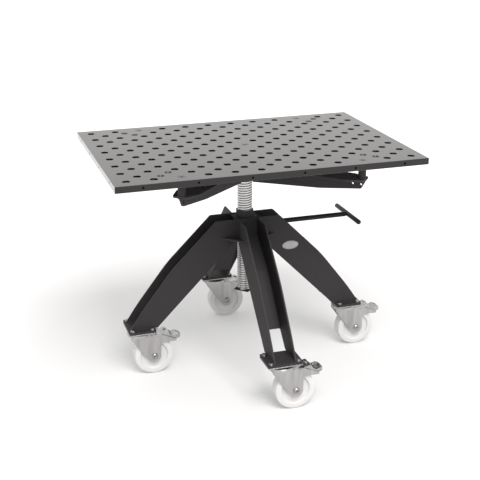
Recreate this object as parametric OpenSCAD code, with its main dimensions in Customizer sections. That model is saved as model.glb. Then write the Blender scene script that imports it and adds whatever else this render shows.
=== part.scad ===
/* [Table plate] */
// Length of the table plate
plate_l = 1200; // [1000:10:1400]
// Width of the table plate
plate_w = 800; // [760:10:900]
// Thickness of the table plate
plate_t = 25; // [20:1:35]
// Height of the working face above the floor
table_h = 935; // [925:1:960]
// Diameter of the clamping bores
bore_d = 28; // [20:1:30]
// Distance between neighbouring bores of one grid
bore_pitch = 100; // [80:10:120]
// Least distance from the plate's edge to a bore's centre
bore_edge = 50; // [40:5:60]
// Distance from the table's middle to a corner pair of countersunk holes, lengthwise
pair_x = 400; // [390:1:410]
// Distance from the table's middle to a corner pair of countersunk holes, crosswise
pair_y = 300; // [290:1:305]
// Distance between the two countersunk holes of a pair
pair_gap = 50; // [46:1:54]
// Width of a countersink at the working face
sink_d = 28; // [24:1:30]
// Diameter of the tapped hole under a countersink
sink_hole_d = 14; // [10:0.5:16]
// Diameter of the tapped holes in the plate's edges
edge_hole_d = 8.5; // [6:0.5:10]
// Depth of the tapped holes in the plate's edges
edge_hole_depth = 25; // [15:1:35]
// Distance between two tapped holes along an edge
edge_hole_pitch = 200; // [150:10:220]

/* [Plate bolts and posts] */
// Distance between two neighbouring corner posts
post_span = 700; // [660:10:720]
// Diameter of a corner post
post_d = 30; // [26:1:34]
// Height of the posts between the arms and the plate
post_h = 45; // [35:1:55]
// Diameter of the middle post
middle_post_d = 70; // [64:1:80]
// Diameter of a plate bolt's head
bolt_head_d = 27.8; // [24:0.1:30]
// Height of a plate bolt's head
bolt_head_h = 12; // [8:1:14]
// Width across flats of the socket in a plate bolt's head
bolt_socket_w = 10; // [8:1:12]
// Depth of that socket
bolt_socket_depth = 6; // [4:0.5:8]
// Diameter of a plate bolt's shank
bolt_shank_d = 16; // [12:1:18]
// Length of shank inside a post
bolt_grip = 28; // [20:1:34]

/* [Support arms] */
// Width of an arm's flange
arm_w = 100; // [90:2:110]
// Thickness of the flange
flange_t = 8; // [6:1:10]
// Distance from a corner post's axis to the arm's end
arm_over = 16; // [12:1:25]
// Length of the taper at an arm's end
arm_taper = 60; // [40:5:80]
// Width of the flange at its end
arm_tip_w = 60; // [50:2:70]
// Thickness of the rib under the flange
rib_t = 10; // [8:1:12]
// Depth of the rib at the sleeve
rib_depth = 70; // [60:1:74]
// Depth of the rib at its bend
rib_bend_depth = 54; // [49:1:58]
// Distance from the spindle's axis to that bend
rib_bend = 325; // [280:5:360]
// Depth of the rib at its outer end
rib_tip_depth = 33; // [28:1:38]
// How far the rib's end slants back below the flange
rib_slant = 17; // [13:1:21]
// Diameter of the two holes near a rib's end
rib_hole_d = 10; // [8:1:12]
// Distance from the arm's end to the outer hole
rib_hole_in = 18; // [17:1:22]
// Distance between these two holes
rib_hole_gap = 33.5; // [28:0.5:36]
// Outer diameter of the sleeve that holds the spindle's top
sleeve_d = 76; // [72:1:84]
// Length of that sleeve below the flanges
sleeve_h = 66; // [56:1:70]

/* [Spindle] */
// Outer diameter of the spindle's thread
spindle_d = 60; // [56:1:62]
// Height of the spindle's lower end above the floor
spindle_low = 323; // [318:1:340]
// Chamfer at the spindle's lower end
spindle_chamfer = 3; // [1:0.5:5]
// Side of the square end plate
end_plate_w = 64; // [62:1:70]
// Thickness of the end plate
end_plate_t = 5; // [4:1:8]
// Diameter of the end screw
end_screw_d = 12; // [10:1:16]
// Length of the end screw inside the spindle
end_screw_grip = 36; // [25:1:50]

/* [Base] */
// Width over a leg's two side plates
leg_w = 90; // [86:1:94]
// Thickness of the side plates
side_t = 6; // [5:0.5:8]
// Distance from the working face down to the side plates' upper edge
arch_drop = 295; // [290:1:305]
// Half length of that upper edge
arch_flat = 135; // [125:1:145]
// Height of the hub from the side plates' inner corner to their upper edge
hub_h = 83; // [78:1:90]
// Height of the hub's lower plate over that corner
hub_lift = 5; // [1:1:8]
// Distance from the spindle's axis to the bend in the outer edge
knee_r = 320; // [300:1:335]
// Radius of that bend
knee_round = 600; // [200:20:900]
// Radius of the slighter bend between the knee and the foot
calf_round = 1400; // [600:100:2400]
// Radius of the side plates' upper corner
arch_round = 12; // [5:1:25]
// Distance from a caster's swivel axis to the foot's outer end
foot_over = 48.5; // [45:0.5:53]
// Width of the side plates at the foot
foot_w = 113.5; // [108:0.5:116]
// Thickness of the hub's lower plate and of the corner gussets
hub_low_t = 8; // [6:1:10]
// Thickness of the hub's upper plate
hub_top_t = 6; // [5:0.5:8]
// How far the hub's upper plate reaches along the arch
hub_top_reach = 50; // [46:1:60]
// Leg of a corner gusset
gusset_leg = 65; // [50:1:75]
// Thickness of a web
web_t = 6; // [4:0.5:8]
// Distance from the spindle's axis to the web's bend
web_bend_r = 177; // [160:1:190]
// Height of the web's upper face over the side plates' inner edge at its bend
web_bend_lift = 38; // [34:1:42]
// Distance from the spindle's axis to the web's lower end
web_end_r = 330; // [320:1:340]
// Height of the web's upper face over the side plates' inner edge at its lower end
web_end_lift = 10; // [9:0.5:14]
// Length of a foot plate across the leg
foot_plate_l = 140; // [134:1:150]
// Width of a foot plate along the leg
foot_plate_w = 110; // [104:1:120]
// Thickness of a foot plate
foot_plate_t = 10; // [8:1:12]
// Corner radius of a foot plate
foot_plate_round = 8; // [4:1:12]

/* [Spindle nut] */
// Outer diameter of the spindle nut
nut_d = 70; // [68:1:72]
// Length of the nut above the side plates
nut_rise = 27; // [20:1:32]

/* [Clamp handle] */
// Distance from the side plates' upper edge down to the handle's axis
handle_drop = 41.5; // [38:0.5:46]
// Diameter of the clamp rod
rod_d = 20; // [16:1:22]
// Width of the clamp boss along the rod
boss_l = 21; // [18:1:26]
// Height of the clamp boss
boss_h = 36; // [32:1:40]
// Length of the pressure pad
pad_l = 12; // [10:1:16]
// Diameter of the rod's tip inside the pad
rod_tip_d = 6; // [5:0.5:8]
// Length of the rod's tip inside the pad
rod_tip_l = 5; // [4:0.5:7]
// Distance from the spindle's axis to the cross bar
bar_x = 455; // [440:1:470]
// Diameter of the cross bar
bar_d = 20; // [16:0.5:22]
// Length of the cross bar
bar_l = 236; // [220:2:240]
// Rounding at the cross bar's ends
bar_round = 5; // [2:0.5:8]
// Diameter of the rod's end inside the cross bar
rod_end_d = 10; // [8:0.5:11]

/* [Oval plate] */
// Length of the oval plate on the arch
oval_l = 71; // [60:1:80]
// Height of that plate
oval_h = 37; // [30:1:45]
// Thickness of that plate
oval_t = 1; // [0.8:0.1:2]
// Distance from the spindle's axis to the plate's middle
oval_x = 183; // [170:1:195]
// Distance from the side plates' upper edge down to the plate's middle
oval_drop = 134; // [125:1:140]

/* [Caster head] */
// Distance from the spindle's axis to a caster's swivel axis
caster_r = 450; // [447:1:453]
// Height of a caster from the floor to its plate's upper face
caster_h = 203; // [200:1:208]
// Thickness of a caster's plate
caster_plate_t = 4; // [3:0.5:5]
// Distance between the caster bolts across the leg
bolt_gap_y = 110; // [108:1:114]
// Distance between the caster bolts along the leg
bolt_gap_x = 80; // [76:1:84]
// Diameter of the caster bolts
caster_bolt_d = 10; // [8:1:12]
// Width across flats of the caster bolts
caster_bolt_w = 16; // [14:1:17]
// Height of a caster bolt's head
caster_bolt_head_h = 6.4; // [5:0.2:8]
// Height of a caster bolt's nut
caster_nut_h = 8; // [6:0.5:9]
// Length of a caster bolt below its nut
caster_bolt_end = 2; // [1:0.5:3]
// Diameter of the kingpin
kingpin_d = 12; // [10:1:14]
// Diameter of the kingpin's head
kingpin_head_d = 24; // [20:1:28]
// Height of the kingpin's head
kingpin_head_h = 9; // [7:0.5:12]
// Diameter on which the balls run
race_d = 78; // [74:1:82]
// Width of the pressed races
race_w = 12; // [10:1:14]
// Depth of the race pressed in the caster's plate
race_depth = 5; // [4:0.5:6]
// Diameter of the balls
ball_d = 5.4; // [5:0.1:6]

/* [Caster fork] */
// Distance from the swivel axis to the wheel's axle
trail = 52; // [48:1:54]
// Width over the fork's legs
fork_w = 64; // [62:1:68]
// Thickness of the fork's sheet
fork_t = 4; // [3:0.5:5]
// Outer radius of the bends between the fork's top and legs
fork_round = 9; // [7:1:12]
// Radius of a fork leg's end round the axle
fork_end_r = 27; // [24:1:28]
// Slant of a fork leg's front edge from the vertical
fork_slant = 36.3; // [34:0.1:38]
// Distance from the swivel axis to the step in a fork leg
step_x = 38; // [34:1:42]
// How far the fork legs are pressed outwards behind that step
fork_step = 1.5; // [1:0.1:2]
// Reach of the fork's horns from the swivel axis
horn_x = 145; // [138:1:150]
// Distance from the fork's top down to the horns' lower edge
horn_depth = 44; // [40:1:48]
// Distance from the fork's top down to the horns' upper edge at their root
horn_top = 8; // [6:1:10]
// Height of a horn at its end
horn_tip = 8; // [6:1:10]
// Radius between a fork leg and its horn
horn_round = 14; // [10:1:16]
// Diameter of the crown
crown_d = 104; // [98:1:106]
// Height of the lower race over the fork's top
crown_rise = 6; // [5:0.5:7]
// Depth of the crown's turned rim
rim_depth = 9; // [7:0.5:11]
// Diameter of the axle
axle_d = 12; // [10:1:14]
// Width across flats of the axle's nut
axle_nut_w = 19; // [17:1:22]
// Diameter of the axle's round head
axle_head_d = 27; // [24:1:30]
// Height of the axle's head
axle_head_h = 7.5; // [6:0.5:9]
// Width across flats of the socket in the axle's head
axle_socket_w = 8; // [6:1:10]
// Height of the axle's nut
axle_nut_h = 10; // [8:0.5:12]

/* [Caster wheel] */
// Diameter of a wheel
wheel_d = 160; // [156:1:162]
// Width of a wheel's tread
wheel_w = 50; // [46:1:51]
// Depth of the wheel's rim below the tread
rim_t = 22; // [16:1:25]
// Rounding of the tread's edges
tread_round = 5; // [3:0.5:7]
// Depth of the recess in the wheel's sides
wheel_recess = 7; // [4:0.5:10]
// Diameter of the hub
hub_d = 40; // [34:1:46]
// Gap between the hub and a fork leg
hub_gap = 1; // [0.5:0.1:1.5]

/* [Brake pedal] */
// Distance from the swivel axis to the pedal's pivot
pivot_x = 70; // [69:0.5:71]
// Height of the pedal's pivot above the floor
pivot_z = 165; // [163:0.5:167]
// Diameter of the pedal's pin
pivot_d = 8; // [6:0.5:9]
// Reach of the pedal behind its pivot
pedal_l = 98; // [94:1:104]
// Drop of the pedal's lower edge below its pivot
pedal_drop = 25; // [22:1:28]
// Rise of the pedal's hump over its pivot
pedal_rise = 14; // [12:0.5:18]
// Thickness of the pedal's sheet
pedal_t = 3.2; // [2.5:0.1:4]
// Gap between the brake shoe and the tread when the brake is off
shoe_gap = 6; // [5.5:0.1:8]
// Length of the brake shoe
shoe_l = 22; // [18:1:26]
// Width of the gap between the pedal's two lobes
lobe_gap = 22; // [16:1:28]
// Diameter of the hollow in the pedal's tread
dish_d = 38; // [30:1:42]
// Depth of that hollow
dish_depth = 1.5; // [1:0.1:2]

/* [Clearances] */
// Radial clearance of pins, shafts and the spindle in their bores
run_fit = 0.05; // [0.02:0.01:0.09]
// Gap between two faces that turn or slide on each other
face_gap = 0.3; // [0.2:0.05:0.5]
// Radial clearance of bolts in their holes
bolt_gap = 0.5; // [0.3:0.1:0.9]
// Land that has to stay between two holes in the plate
bore_land = 2; // [1:0.5:5]
// Gap between a pedal's cheeks and the fork or the tread
cheek_gap = 0.6; // [0.4:0.1:0.9]

/* [Hidden] */
$fn = 64;
// Overrun of a cut past the face that it opens
over = 1;

plate_color = "#8f8d8b";
black_color = "#343233";
steel_color = "#b9bbbd";
oval_color = "#d9d7d4";
zinc_color = "#aaa8a6";
nylon_color = "#ebe8e2";
pedal_color = "#9a9997";

// Directions of the four legs, and the turn of each about the spindle's axis
left_turn = 180;
right_turn = 0;
front_turn = 270;
rear_turn = 90;
TURNS = [left_turn, right_turn, front_turn, rear_turn];
// Turn of an arm from the leg beside it
arm_turn = 45;

// Heights above the floor
plate_z = table_h - plate_t;
frame_z = plate_z - post_h;
flange_z = frame_z - flange_t;
arch_h = table_h - arch_drop;
handle_h = arch_h - handle_drop;
foot_top_z = caster_h + foot_plate_t;
foot_out = caster_r + foot_over;
foot_in = foot_out - foot_w;
nut_z = arch_h + nut_rise;
crown_z = caster_h - caster_plate_t - race_depth - ball_d - 2 * face_gap - crown_rise;
axle_z = wheel_d / 2;

// The inner edge of a leg falls from the hub's corner to the foot
inner_leg = leg_w / 2 - side_t;
corner_z = arch_h - hub_h;
hub_low_z = corner_z + hub_lift;
function inner_edge(r) = corner_z - (r - leg_w / 2) * (corner_z - foot_top_z) / (foot_in - leg_w / 2);

// Arc of radius r that rounds the corner b between the points a and c
function corner_arc(a, b, c, r, n) =
    let (u = (a - b) / norm(a - b),
        v = (c - b) / norm(c - b),
        half = acos(u * v) / 2,
        cut = r / tan(half),
        o = b + (u + v) / norm(u + v) * r / sin(half),
        p = b + u * cut,
        q = b + v * cut,
        start = atan2(p.y - o.y, p.x - o.x),
        turn = atan2(q.y - o.y, q.x - o.x) - start,
        sweep = turn > 180 ? turn - 360 : turn < -180 ? turn + 360 : turn)
    r == 0 ? [b] : [for (i = [0:n]) o + r * [cos(start + sweep * i / n), sin(start + sweep * i / n)]];

// Outline with each corner rounded by its own radius
function rounded(points, radii, n = 6) =
    let (m = len(points))
    [for (i = [0:m - 1]) each corner_arc(points[(i + m - 1) % m], points[i], points[(i + 1) % m], radii[i], n)];

// Rectangle about the origin with rounded corners
function round_rect(l, w, r) =
    rounded([[-l, -w] / 2, [l, -w] / 2, [l, w] / 2, [-l, w] / 2], [r, r, r, r]);

// Slab from an outline in the XZ plane, thick along Y and centred on it
module slab_xz(points, thick) rotate([90, 0, 0]) linear_extrude(thick, center = true) polygon(points);

// Round bar along X from x0 to x1
module bar_along_x(d, x0, x1) translate([x0, 0, 0]) rotate([0, 90, 0]) cylinder(d = d, h = x1 - x0);

// Round bar along Y from y0 to y1
module bar_along_y(d, y0, y1) translate([0, y1, 0]) rotate([90, 0, 0]) cylinder(d = d, h = y1 - y0);

// Hexagonal prism with its flats square to Y
module hexagon(w, h) cylinder(d = w / cos(30), h = h, $fn = 6);

// Place a foot's pieces: X points outwards along the leg, the origin is on the floor below the swivel
module at_foot(turn) rotate([0, 0, turn]) translate([caster_r, 0, 0]) children();

// Place a caster's swivelling pieces, which all trail the same way
module at_swivel(turn) translate(caster_r * [cos(turn), sin(turn), 0]) children();

// Places of the clamping bores: one grid, and a second one half a pitch inside it
cols = floor((plate_l - 2 * bore_edge) / bore_pitch) + 1;
rows = floor((plate_w - 2 * bore_edge) / bore_pitch) + 1;
function places(n) = [for (i = [0:n - 1]) (i - (n - 1) / 2) * bore_pitch];
POSTS = [for (x = [-1, 1], y = [-1, 1]) [x, y] * post_span / 2];
BOLTS = concat([[0, 0]], POSTS);
pair_step = pair_gap / 2 * cos(45);
PAIRS = [for (x = [-1, 1], y = [-1, 1], e = [-1, 1]) [x * (pair_x + e * pair_step), y * (pair_y + e * pair_step)]];
function is_free(p) = min([for (q = concat(BOLTS, PAIRS)) norm(p - q)]) > (bore_d + sink_d) / 2 + bore_land;
BORES = [for (g = [0, 1], x = places(cols - g), y = places(rows - g)) if (is_free([x, y])) [x, y]];

// Places of the tapped holes along an edge of the given length
function edge_places(l) =
    let (n = 2 * floor((l / 2 + edge_hole_pitch / 2 - bore_edge) / edge_hole_pitch))
    [for (i = [0:n - 1]) (i - (n - 1) / 2) * edge_hole_pitch];

module edge_holes(l, reach) {
    for (p = edge_places(l), s = [0, 1])
        rotate([0, 0, 180 * s])
            translate([p, reach, 0])
                bar_along_y(edge_hole_d, -edge_hole_depth, over);
}

module table_plate() color(plate_color) difference() {
    translate([0, 0, plate_z]) linear_extrude(plate_t) difference() {
        square([plate_l, plate_w], center = true);
        for (p = BORES) translate(p) circle(d = bore_d);
        for (p = BOLTS) translate(p) circle(d = bolt_shank_d + 2 * run_fit);
        for (p = PAIRS) translate(p) circle(d = sink_hole_d);
    }
    for (p = BOLTS)
        translate([p.x, p.y, table_h - bolt_head_h])
            cylinder(d = bolt_head_d + 4 * run_fit, h = bolt_head_h + over);
    for (p = PAIRS)
        translate([p.x, p.y, table_h - (sink_d - sink_hole_d) / 2])
            cylinder(d1 = sink_hole_d, d2 = sink_d + 2 * over, h = (sink_d - sink_hole_d) / 2 + over);
    translate([0, 0, plate_z + plate_t / 2]) {
        edge_holes(plate_l, plate_w / 2);
        rotate([0, 0, 90]) edge_holes(plate_w, plate_l / 2);
    }
}

module plate_bolts() color(steel_color)
    for (p = BOLTS) translate([p.x, p.y, table_h]) difference() {
        union() {
            translate([0, 0, -bolt_head_h]) cylinder(d = bolt_head_d, h = bolt_head_h);
            translate([0, 0, -plate_t - bolt_grip]) cylinder(d = bolt_shank_d, h = plate_t + bolt_grip - over);
        }
        translate([0, 0, -bolt_socket_depth]) hexagon(bolt_socket_w, bolt_socket_depth + over);
    }

// Round post under the plate with a tapped hole for its bolt
module post(d) translate([0, 0, frame_z]) difference() {
    cylinder(d = d, h = post_h);
    translate([0, 0, post_h - bolt_grip - over]) cylinder(d = bolt_shank_d + 2 * run_fit, h = bolt_grip + 2 * over);
}

module corner_posts() color(black_color) for (p = POSTS) translate(p) post(post_d);

module middle_post() color(black_color) post(middle_post_d);

// Square middle of the arms' cross, with the sleeve that is welded to the spindle's top
module cross_hub() color(black_color) difference() {
    union() {
        translate([0, 0, flange_z]) rotate([0, 0, 45])
            linear_extrude(flange_t) square(arm_w, center = true);
        translate([0, 0, flange_z - sleeve_h]) cylinder(d = sleeve_d, h = sleeve_h);
    }
    translate([0, 0, flange_z - sleeve_h - over])
        cylinder(d = spindle_d + 2 * run_fit, h = sleeve_h + flange_t + 2 * over);
}

// Tee-shaped arm: a flange with a tapered end on a rib that gets shallower outwards
module arm(turn) {
    arm_reach = norm(POSTS[0]) + arm_over;
    tip = arm_reach - arm_taper;
    flange = rounded([[arm_w, -arm_w] / 2, [tip, -arm_w / 2], [arm_reach, -arm_tip_w / 2],
        [arm_reach, arm_tip_w / 2], [tip, arm_w / 2], [arm_w, arm_w] / 2],
        [0, arm_taper / 2, rib_t, rib_t, arm_taper / 2, 0]);
    rib = rounded([[sleeve_d / 2, 0], [sleeve_d / 2, -rib_depth], [rib_bend, -rib_bend_depth],
        [arm_reach - rib_slant, -rib_tip_depth], [arm_reach, 0]],
        [0, 0, rib_bend, rib_slant / 3, 0]);
    color(black_color) rotate([0, 0, turn]) translate([0, 0, flange_z]) difference() {
        union() {
            linear_extrude(flange_t) polygon(flange);
            slab_xz(rib, rib_t);
        }
        for (s = [rib_hole_in, rib_hole_in + rib_hole_gap])
            translate([arm_reach - s, 0, -rib_tip_depth / 2])
                bar_along_y(rib_hole_d, -rib_t, rib_t);
    }
}

module arm_front_left() arm(front_turn - arm_turn);
module arm_front_right() arm(front_turn + arm_turn);
module arm_rear_left() arm(rear_turn + arm_turn);
module arm_rear_right() arm(rear_turn - arm_turn);

module spindle() color(steel_color) difference() {
    translate([0, 0, spindle_low]) union() {
        cylinder(d1 = spindle_d - 2 * spindle_chamfer, d2 = spindle_d, h = spindle_chamfer);
        translate([0, 0, spindle_chamfer]) cylinder(d = spindle_d, h = frame_z - spindle_low - spindle_chamfer);
    }
    translate([0, 0, spindle_low - over])
        cylinder(d = end_screw_d + 2 * run_fit, h = end_screw_grip + 2 * over);
}

module end_plate() color(black_color)
    translate([0, 0, spindle_low - face_gap - end_plate_t]) rotate([0, 0, 45]) difference() {
        linear_extrude(end_plate_t) square(end_plate_w, center = true);
        translate([0, 0, -over]) cylinder(d = end_screw_d + 2 * run_fit, h = end_plate_t + 2 * over);
    }

module end_screw() color(steel_color) translate([0, 0, spindle_low - face_gap - end_plate_t]) {
    translate([0, 0, -end_screw_d * 2 / 3]) hexagon(end_screw_d * 3 / 2, end_screw_d * 2 / 3);
    cylinder(d = end_screw_d, h = end_plate_t + face_gap + end_screw_grip);
}

// Threaded sleeve that the spindle turns in, with the hole for the pressure pad
module spindle_nut() color(black_color) difference() {
    translate([0, 0, hub_low_z]) cylinder(d = nut_d, h = nut_z - hub_low_z);
    translate([0, 0, hub_low_z - over]) cylinder(d = spindle_d + 2 * run_fit, h = nut_z - hub_low_z + 2 * over);
    translate([0, 0, handle_h]) bar_along_x(rod_d + 2 * run_fit, spindle_d / 4, nut_d / 2 + over);
}

// Flat plate of the hub with the hole that the nut is welded in
module hub_plate(reach, z, t) translate([0, 0, z]) linear_extrude(t) difference() {
    square([2 * reach, 2 * inner_leg], center = true);
    circle(d = nut_d + 2 * run_fit);
}

module hub_top_plate() color(black_color) hub_plate(hub_top_reach, arch_h - hub_top_t, hub_top_t);
module hub_bottom_plate() color(black_color) hub_plate(leg_w / 2, hub_low_z, hub_low_t);

module corner_gussets() color(black_color)
    for (turn = TURNS) rotate([0, 0, turn]) translate([leg_w / 2, leg_w / 2, hub_low_z])
        linear_extrude(hub_low_t) polygon([[0, 0], [gusset_leg, 0], [0, gusset_leg]]);

// Block with the thread for the clamp rod
module clamp_boss() color(black_color) translate([0, 0, handle_h]) difference() {
    translate([nut_d / 2, -inner_leg, -boss_h / 2]) cube([boss_l, 2 * inner_leg, boss_h]);
    bar_along_x(rod_d + 2 * run_fit, nut_d / 2 - over, nut_d / 2 + boss_l + over);
}

// Outer half of a side plate's outline, from the top round the foot to the hub
knee_z = arch_h - (knee_r - arch_flat);
calf_share = [0.725, 0.695];
OUTER = [[arch_flat, arch_h], [knee_r, knee_z],
    [knee_r + calf_share.x * (foot_out - knee_r), knee_z + calf_share.y * (foot_top_z - knee_z)],
    [foot_out, foot_top_z], [foot_in, foot_top_z], [leg_w / 2, corner_z]];
OUTER_ROUND = [arch_round, knee_round, calf_round, 0, 0, 0];

function mirrored(points) = [for (i = [len(points) - 1:-1:0]) [-points[i].x, points[i].y]];
function reversed(list) = [for (i = [len(list) - 1:-1:0]) list[i]];

// Side plate that runs from foot to foot over the arch
module arch_plate(side)
    color(black_color) translate([0, side * (leg_w - side_t) / 2, 0])
        slab_xz(rounded(concat(OUTER, mirrored(OUTER)), concat(OUTER_ROUND, reversed(OUTER_ROUND))), side_t);

module arch_plate_front() arch_plate(-1);
module arch_plate_rear() arch_plate(1);

// Bare oval plate stuck on the front of the arch
module oval_plate() color(oval_color) translate([oval_x, -leg_w / 2, arch_h - oval_drop])
    rotate([90, 0, 0]) linear_extrude(oval_t) scale([oval_l / oval_h, 1]) circle(d = oval_h);

// Side plate of a leg that butts on the arch plates
module leg_plate(turn, side)
    color(black_color) rotate([0, 0, turn]) translate([0, side * (leg_w - side_t) / 2, 0])
        slab_xz(rounded(concat(OUTER, [[leg_w / 2, arch_h]]), concat(OUTER_ROUND, [0])), side_t);

module front_leg_left_plate() leg_plate(front_turn, -1);
module front_leg_right_plate() leg_plate(front_turn, 1);
module rear_leg_left_plate() leg_plate(rear_turn, 1);
module rear_leg_right_plate() leg_plate(rear_turn, -1);

// Bent web between a leg's side plates, from the hub's lower plate to near the foot
module web(turn) {
    start = [leg_w / 2, hub_low_z + hub_low_t];
    bend = [web_bend_r, inner_edge(web_bend_r) + web_bend_lift];
    end = [web_end_r, inner_edge(web_end_r) + web_end_lift];
    upper = (bend - start) / norm(bend - start);
    lower = (end - bend) / norm(end - bend);
    upper_in = [upper.y, -upper.x];
    lower_in = [lower.y, -lower.x];
    low_start = start - [0, web_t / upper.x];
    low_bend = bend + web_t * (upper_in + lower_in) / (1 + upper_in * lower_in);
    low_end = end + web_t * lower_in;
    color(black_color) rotate([0, 0, turn])
        slab_xz(rounded([start, bend, end, low_end, low_bend, low_start],
            [0, 6 * web_t, 0, 0, 5 * web_t, 0]), 2 * inner_leg);
}

module left_web() web(left_turn);
module right_web() web(right_turn);
module front_web() web(front_turn);
module rear_web() web(rear_turn);

// Places of the caster bolts about the swivel axis
BOLT_PLACES = [for (x = [-1, 1], y = [-1, 1]) [x * bolt_gap_x, y * bolt_gap_y] / 2];

module foot_outline(hole_d) difference() {
    polygon(round_rect(foot_plate_w, foot_plate_l, foot_plate_round));
    for (p = BOLT_PLACES) translate(p) circle(d = hole_d);
}

module foot_plate(turn) color(black_color) at_foot(turn) translate([0, 0, caster_h])
    linear_extrude(foot_plate_t) foot_outline(caster_bolt_d + 2 * bolt_gap);

module left_foot_plate() foot_plate(left_turn);
module right_foot_plate() foot_plate(right_turn);
module front_foot_plate() foot_plate(front_turn);
module rear_foot_plate() foot_plate(rear_turn);

// The pad slides in the nut's hole and bears on the spindle; the rod's tip turns in its back
pad_x = spindle_d / 2 + face_gap;
rod_x = pad_x + pad_l + face_gap;
bar_face = bar_x - bar_d / 2;

module pressure_pad() color(steel_color) translate([0, 0, handle_h]) difference() {
    bar_along_x(rod_d, pad_x, pad_x + pad_l);
    bar_along_x(rod_tip_d + 2 * run_fit, pad_x + pad_l - rod_tip_l - face_gap, pad_x + pad_l + over);
}

module clamp_rod() color(black_color) translate([0, 0, handle_h]) {
    bar_along_x(rod_d, rod_x, bar_face);
    bar_along_x(rod_tip_d, rod_x - face_gap - rod_tip_l, rod_x + over);
    bar_along_x(rod_end_d, bar_face - over, bar_x);
}

module cross_bar() {
    half = rounded([[0, -bar_l / 2], [bar_d / 2, -bar_l / 2], [bar_d / 2, bar_l / 2], [0, bar_l / 2]],
        [0, bar_round, bar_round, 0]);
    color(black_color) translate([bar_x, 0, handle_h]) difference() {
        rotate([90, 0, 0]) rotate_extrude() polygon(half);
        bar_along_x(rod_end_d + 2 * run_fit, -bar_d, over);
    }
}

// Bolt from the foot plate down through the caster's plate, with its nut
module caster_bolt() {
    plate_low = caster_h - caster_plate_t;
    translate([0, 0, foot_top_z]) hexagon(caster_bolt_w, caster_bolt_head_h);
    translate([0, 0, plate_low - caster_nut_h - caster_bolt_end])
        cylinder(d = caster_bolt_d, h = foot_top_z - plate_low + caster_nut_h + caster_bolt_end + over);
    translate([0, 0, plate_low - caster_nut_h]) hexagon(caster_bolt_w, caster_nut_h);
}

module caster_bolts() color(zinc_color)
    for (turn = TURNS) at_foot(turn) for (p = BOLT_PLACES) translate(p) caster_bolt();

// Riveted pin that carries the fork's crown
module kingpins() color(zinc_color) for (turn = TURNS) at_foot(turn) {
    translate([0, 0, crown_z - fork_t - face_gap - kingpin_head_h]) cylinder(d = kingpin_head_d, h = kingpin_head_h);
    translate([0, 0, crown_z - fork_t - face_gap - over])
        cylinder(d = kingpin_d, h = caster_h - crown_z + fork_t + face_gap + over);
}

// Ring of balls between the two pressed races
module ball_races() color(steel_color) for (turn = TURNS) at_foot(turn)
    translate([0, 0, crown_z + crown_rise + face_gap + ball_d / 2])
        rotate_extrude() translate([race_d / 2, 0]) circle(d = ball_d, $fn = 24);

// Caster's plate with the race pressed in its lower face
module caster_plate(turn) color(zinc_color) at_foot(turn) translate([0, 0, caster_h - caster_plate_t])
    difference() {
        union() {
            linear_extrude(caster_plate_t) foot_outline(caster_bolt_d + 2 * bolt_gap);
            translate([0, 0, -race_depth]) difference() {
                cylinder(d1 = race_d + race_w, d2 = race_d + race_w + 2 * race_depth, h = race_depth + over);
                translate([0, 0, -over]) cylinder(d = race_d - race_w, h = race_depth + over);
            }
        }
        translate([0, 0, -race_depth]) cylinder(d = kingpin_d + 2 * run_fit, h = race_depth + caster_plate_t + over);
    }

module left_caster_plate() caster_plate(left_turn);
module right_caster_plate() caster_plate(right_turn);
module front_caster_plate() caster_plate(front_turn);
module rear_caster_plate() caster_plate(rear_turn);

// Section of the crown from the kingpin's hole to its turned rim
module crown() {
    pin_r = kingpin_d / 2 + run_fit;
    race_in = race_d / 2 - race_w / 2;
    rim_r = crown_d / 2;
    rotate_extrude() polygon([[pin_r, crown_z - fork_t], [race_in - crown_rise / 2, crown_z - fork_t],
        [race_in, crown_z + crown_rise - fork_t], [rim_r - fork_t, crown_z + crown_rise - fork_t],
        [rim_r - fork_t, crown_z + crown_rise - rim_depth - fork_t],
        [rim_r, crown_z + crown_rise - rim_depth - fork_t],
        [rim_r, crown_z + crown_rise - fork_t / 2], [rim_r - fork_t / 2, crown_z + crown_rise],
        [race_in - fork_t / 2, crown_z + crown_rise], [race_in - crown_rise / 2 - fork_t / 2, crown_z],
        [pin_r, crown_z]]);
}

// Height of the horns' upper edge at their root
horn_top_z = crown_z - horn_top;
horn_low_z = crown_z - horn_depth;

// Side view of a fork leg: slanted front edge, round end about the axle, upright rear edge and a horn
function fork_side() =
    let (first = 180 + fork_slant,
        rear_x = trail + fork_end_r,
        front_x = trail + fork_end_r * cos(first),
        front_z = axle_z + fork_end_r * sin(first))
    concat([for (a = [first:(360 - first) / 8:360]) [trail, axle_z] + fork_end_r * [cos(a), sin(a)]],
        corner_arc([rear_x, axle_z], [rear_x, horn_low_z], [horn_x, horn_low_z], horn_round, 5),
        corner_arc([rear_x, horn_low_z], [horn_x, horn_low_z], [horn_x, horn_low_z + horn_tip], horn_tip / 2, 3),
        [[horn_x, horn_low_z + horn_tip], [rear_x, horn_top_z], [rear_x, crown_z + over],
            [front_x - (crown_z + over - front_z) * tan(fork_slant), crown_z + over]]);

// Plan of the fork legs' rear halves, which are pressed outwards behind a step
module pressed_legs(half) for (side = [-1, 1]) scale([1, side])
    polygon([[step_x - fork_step, half - fork_t / 2], [step_x - fork_step, half], [step_x, half + fork_step],
        [2 * horn_x, half + fork_step], [2 * horn_x, half - fork_t / 2]]);

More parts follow.
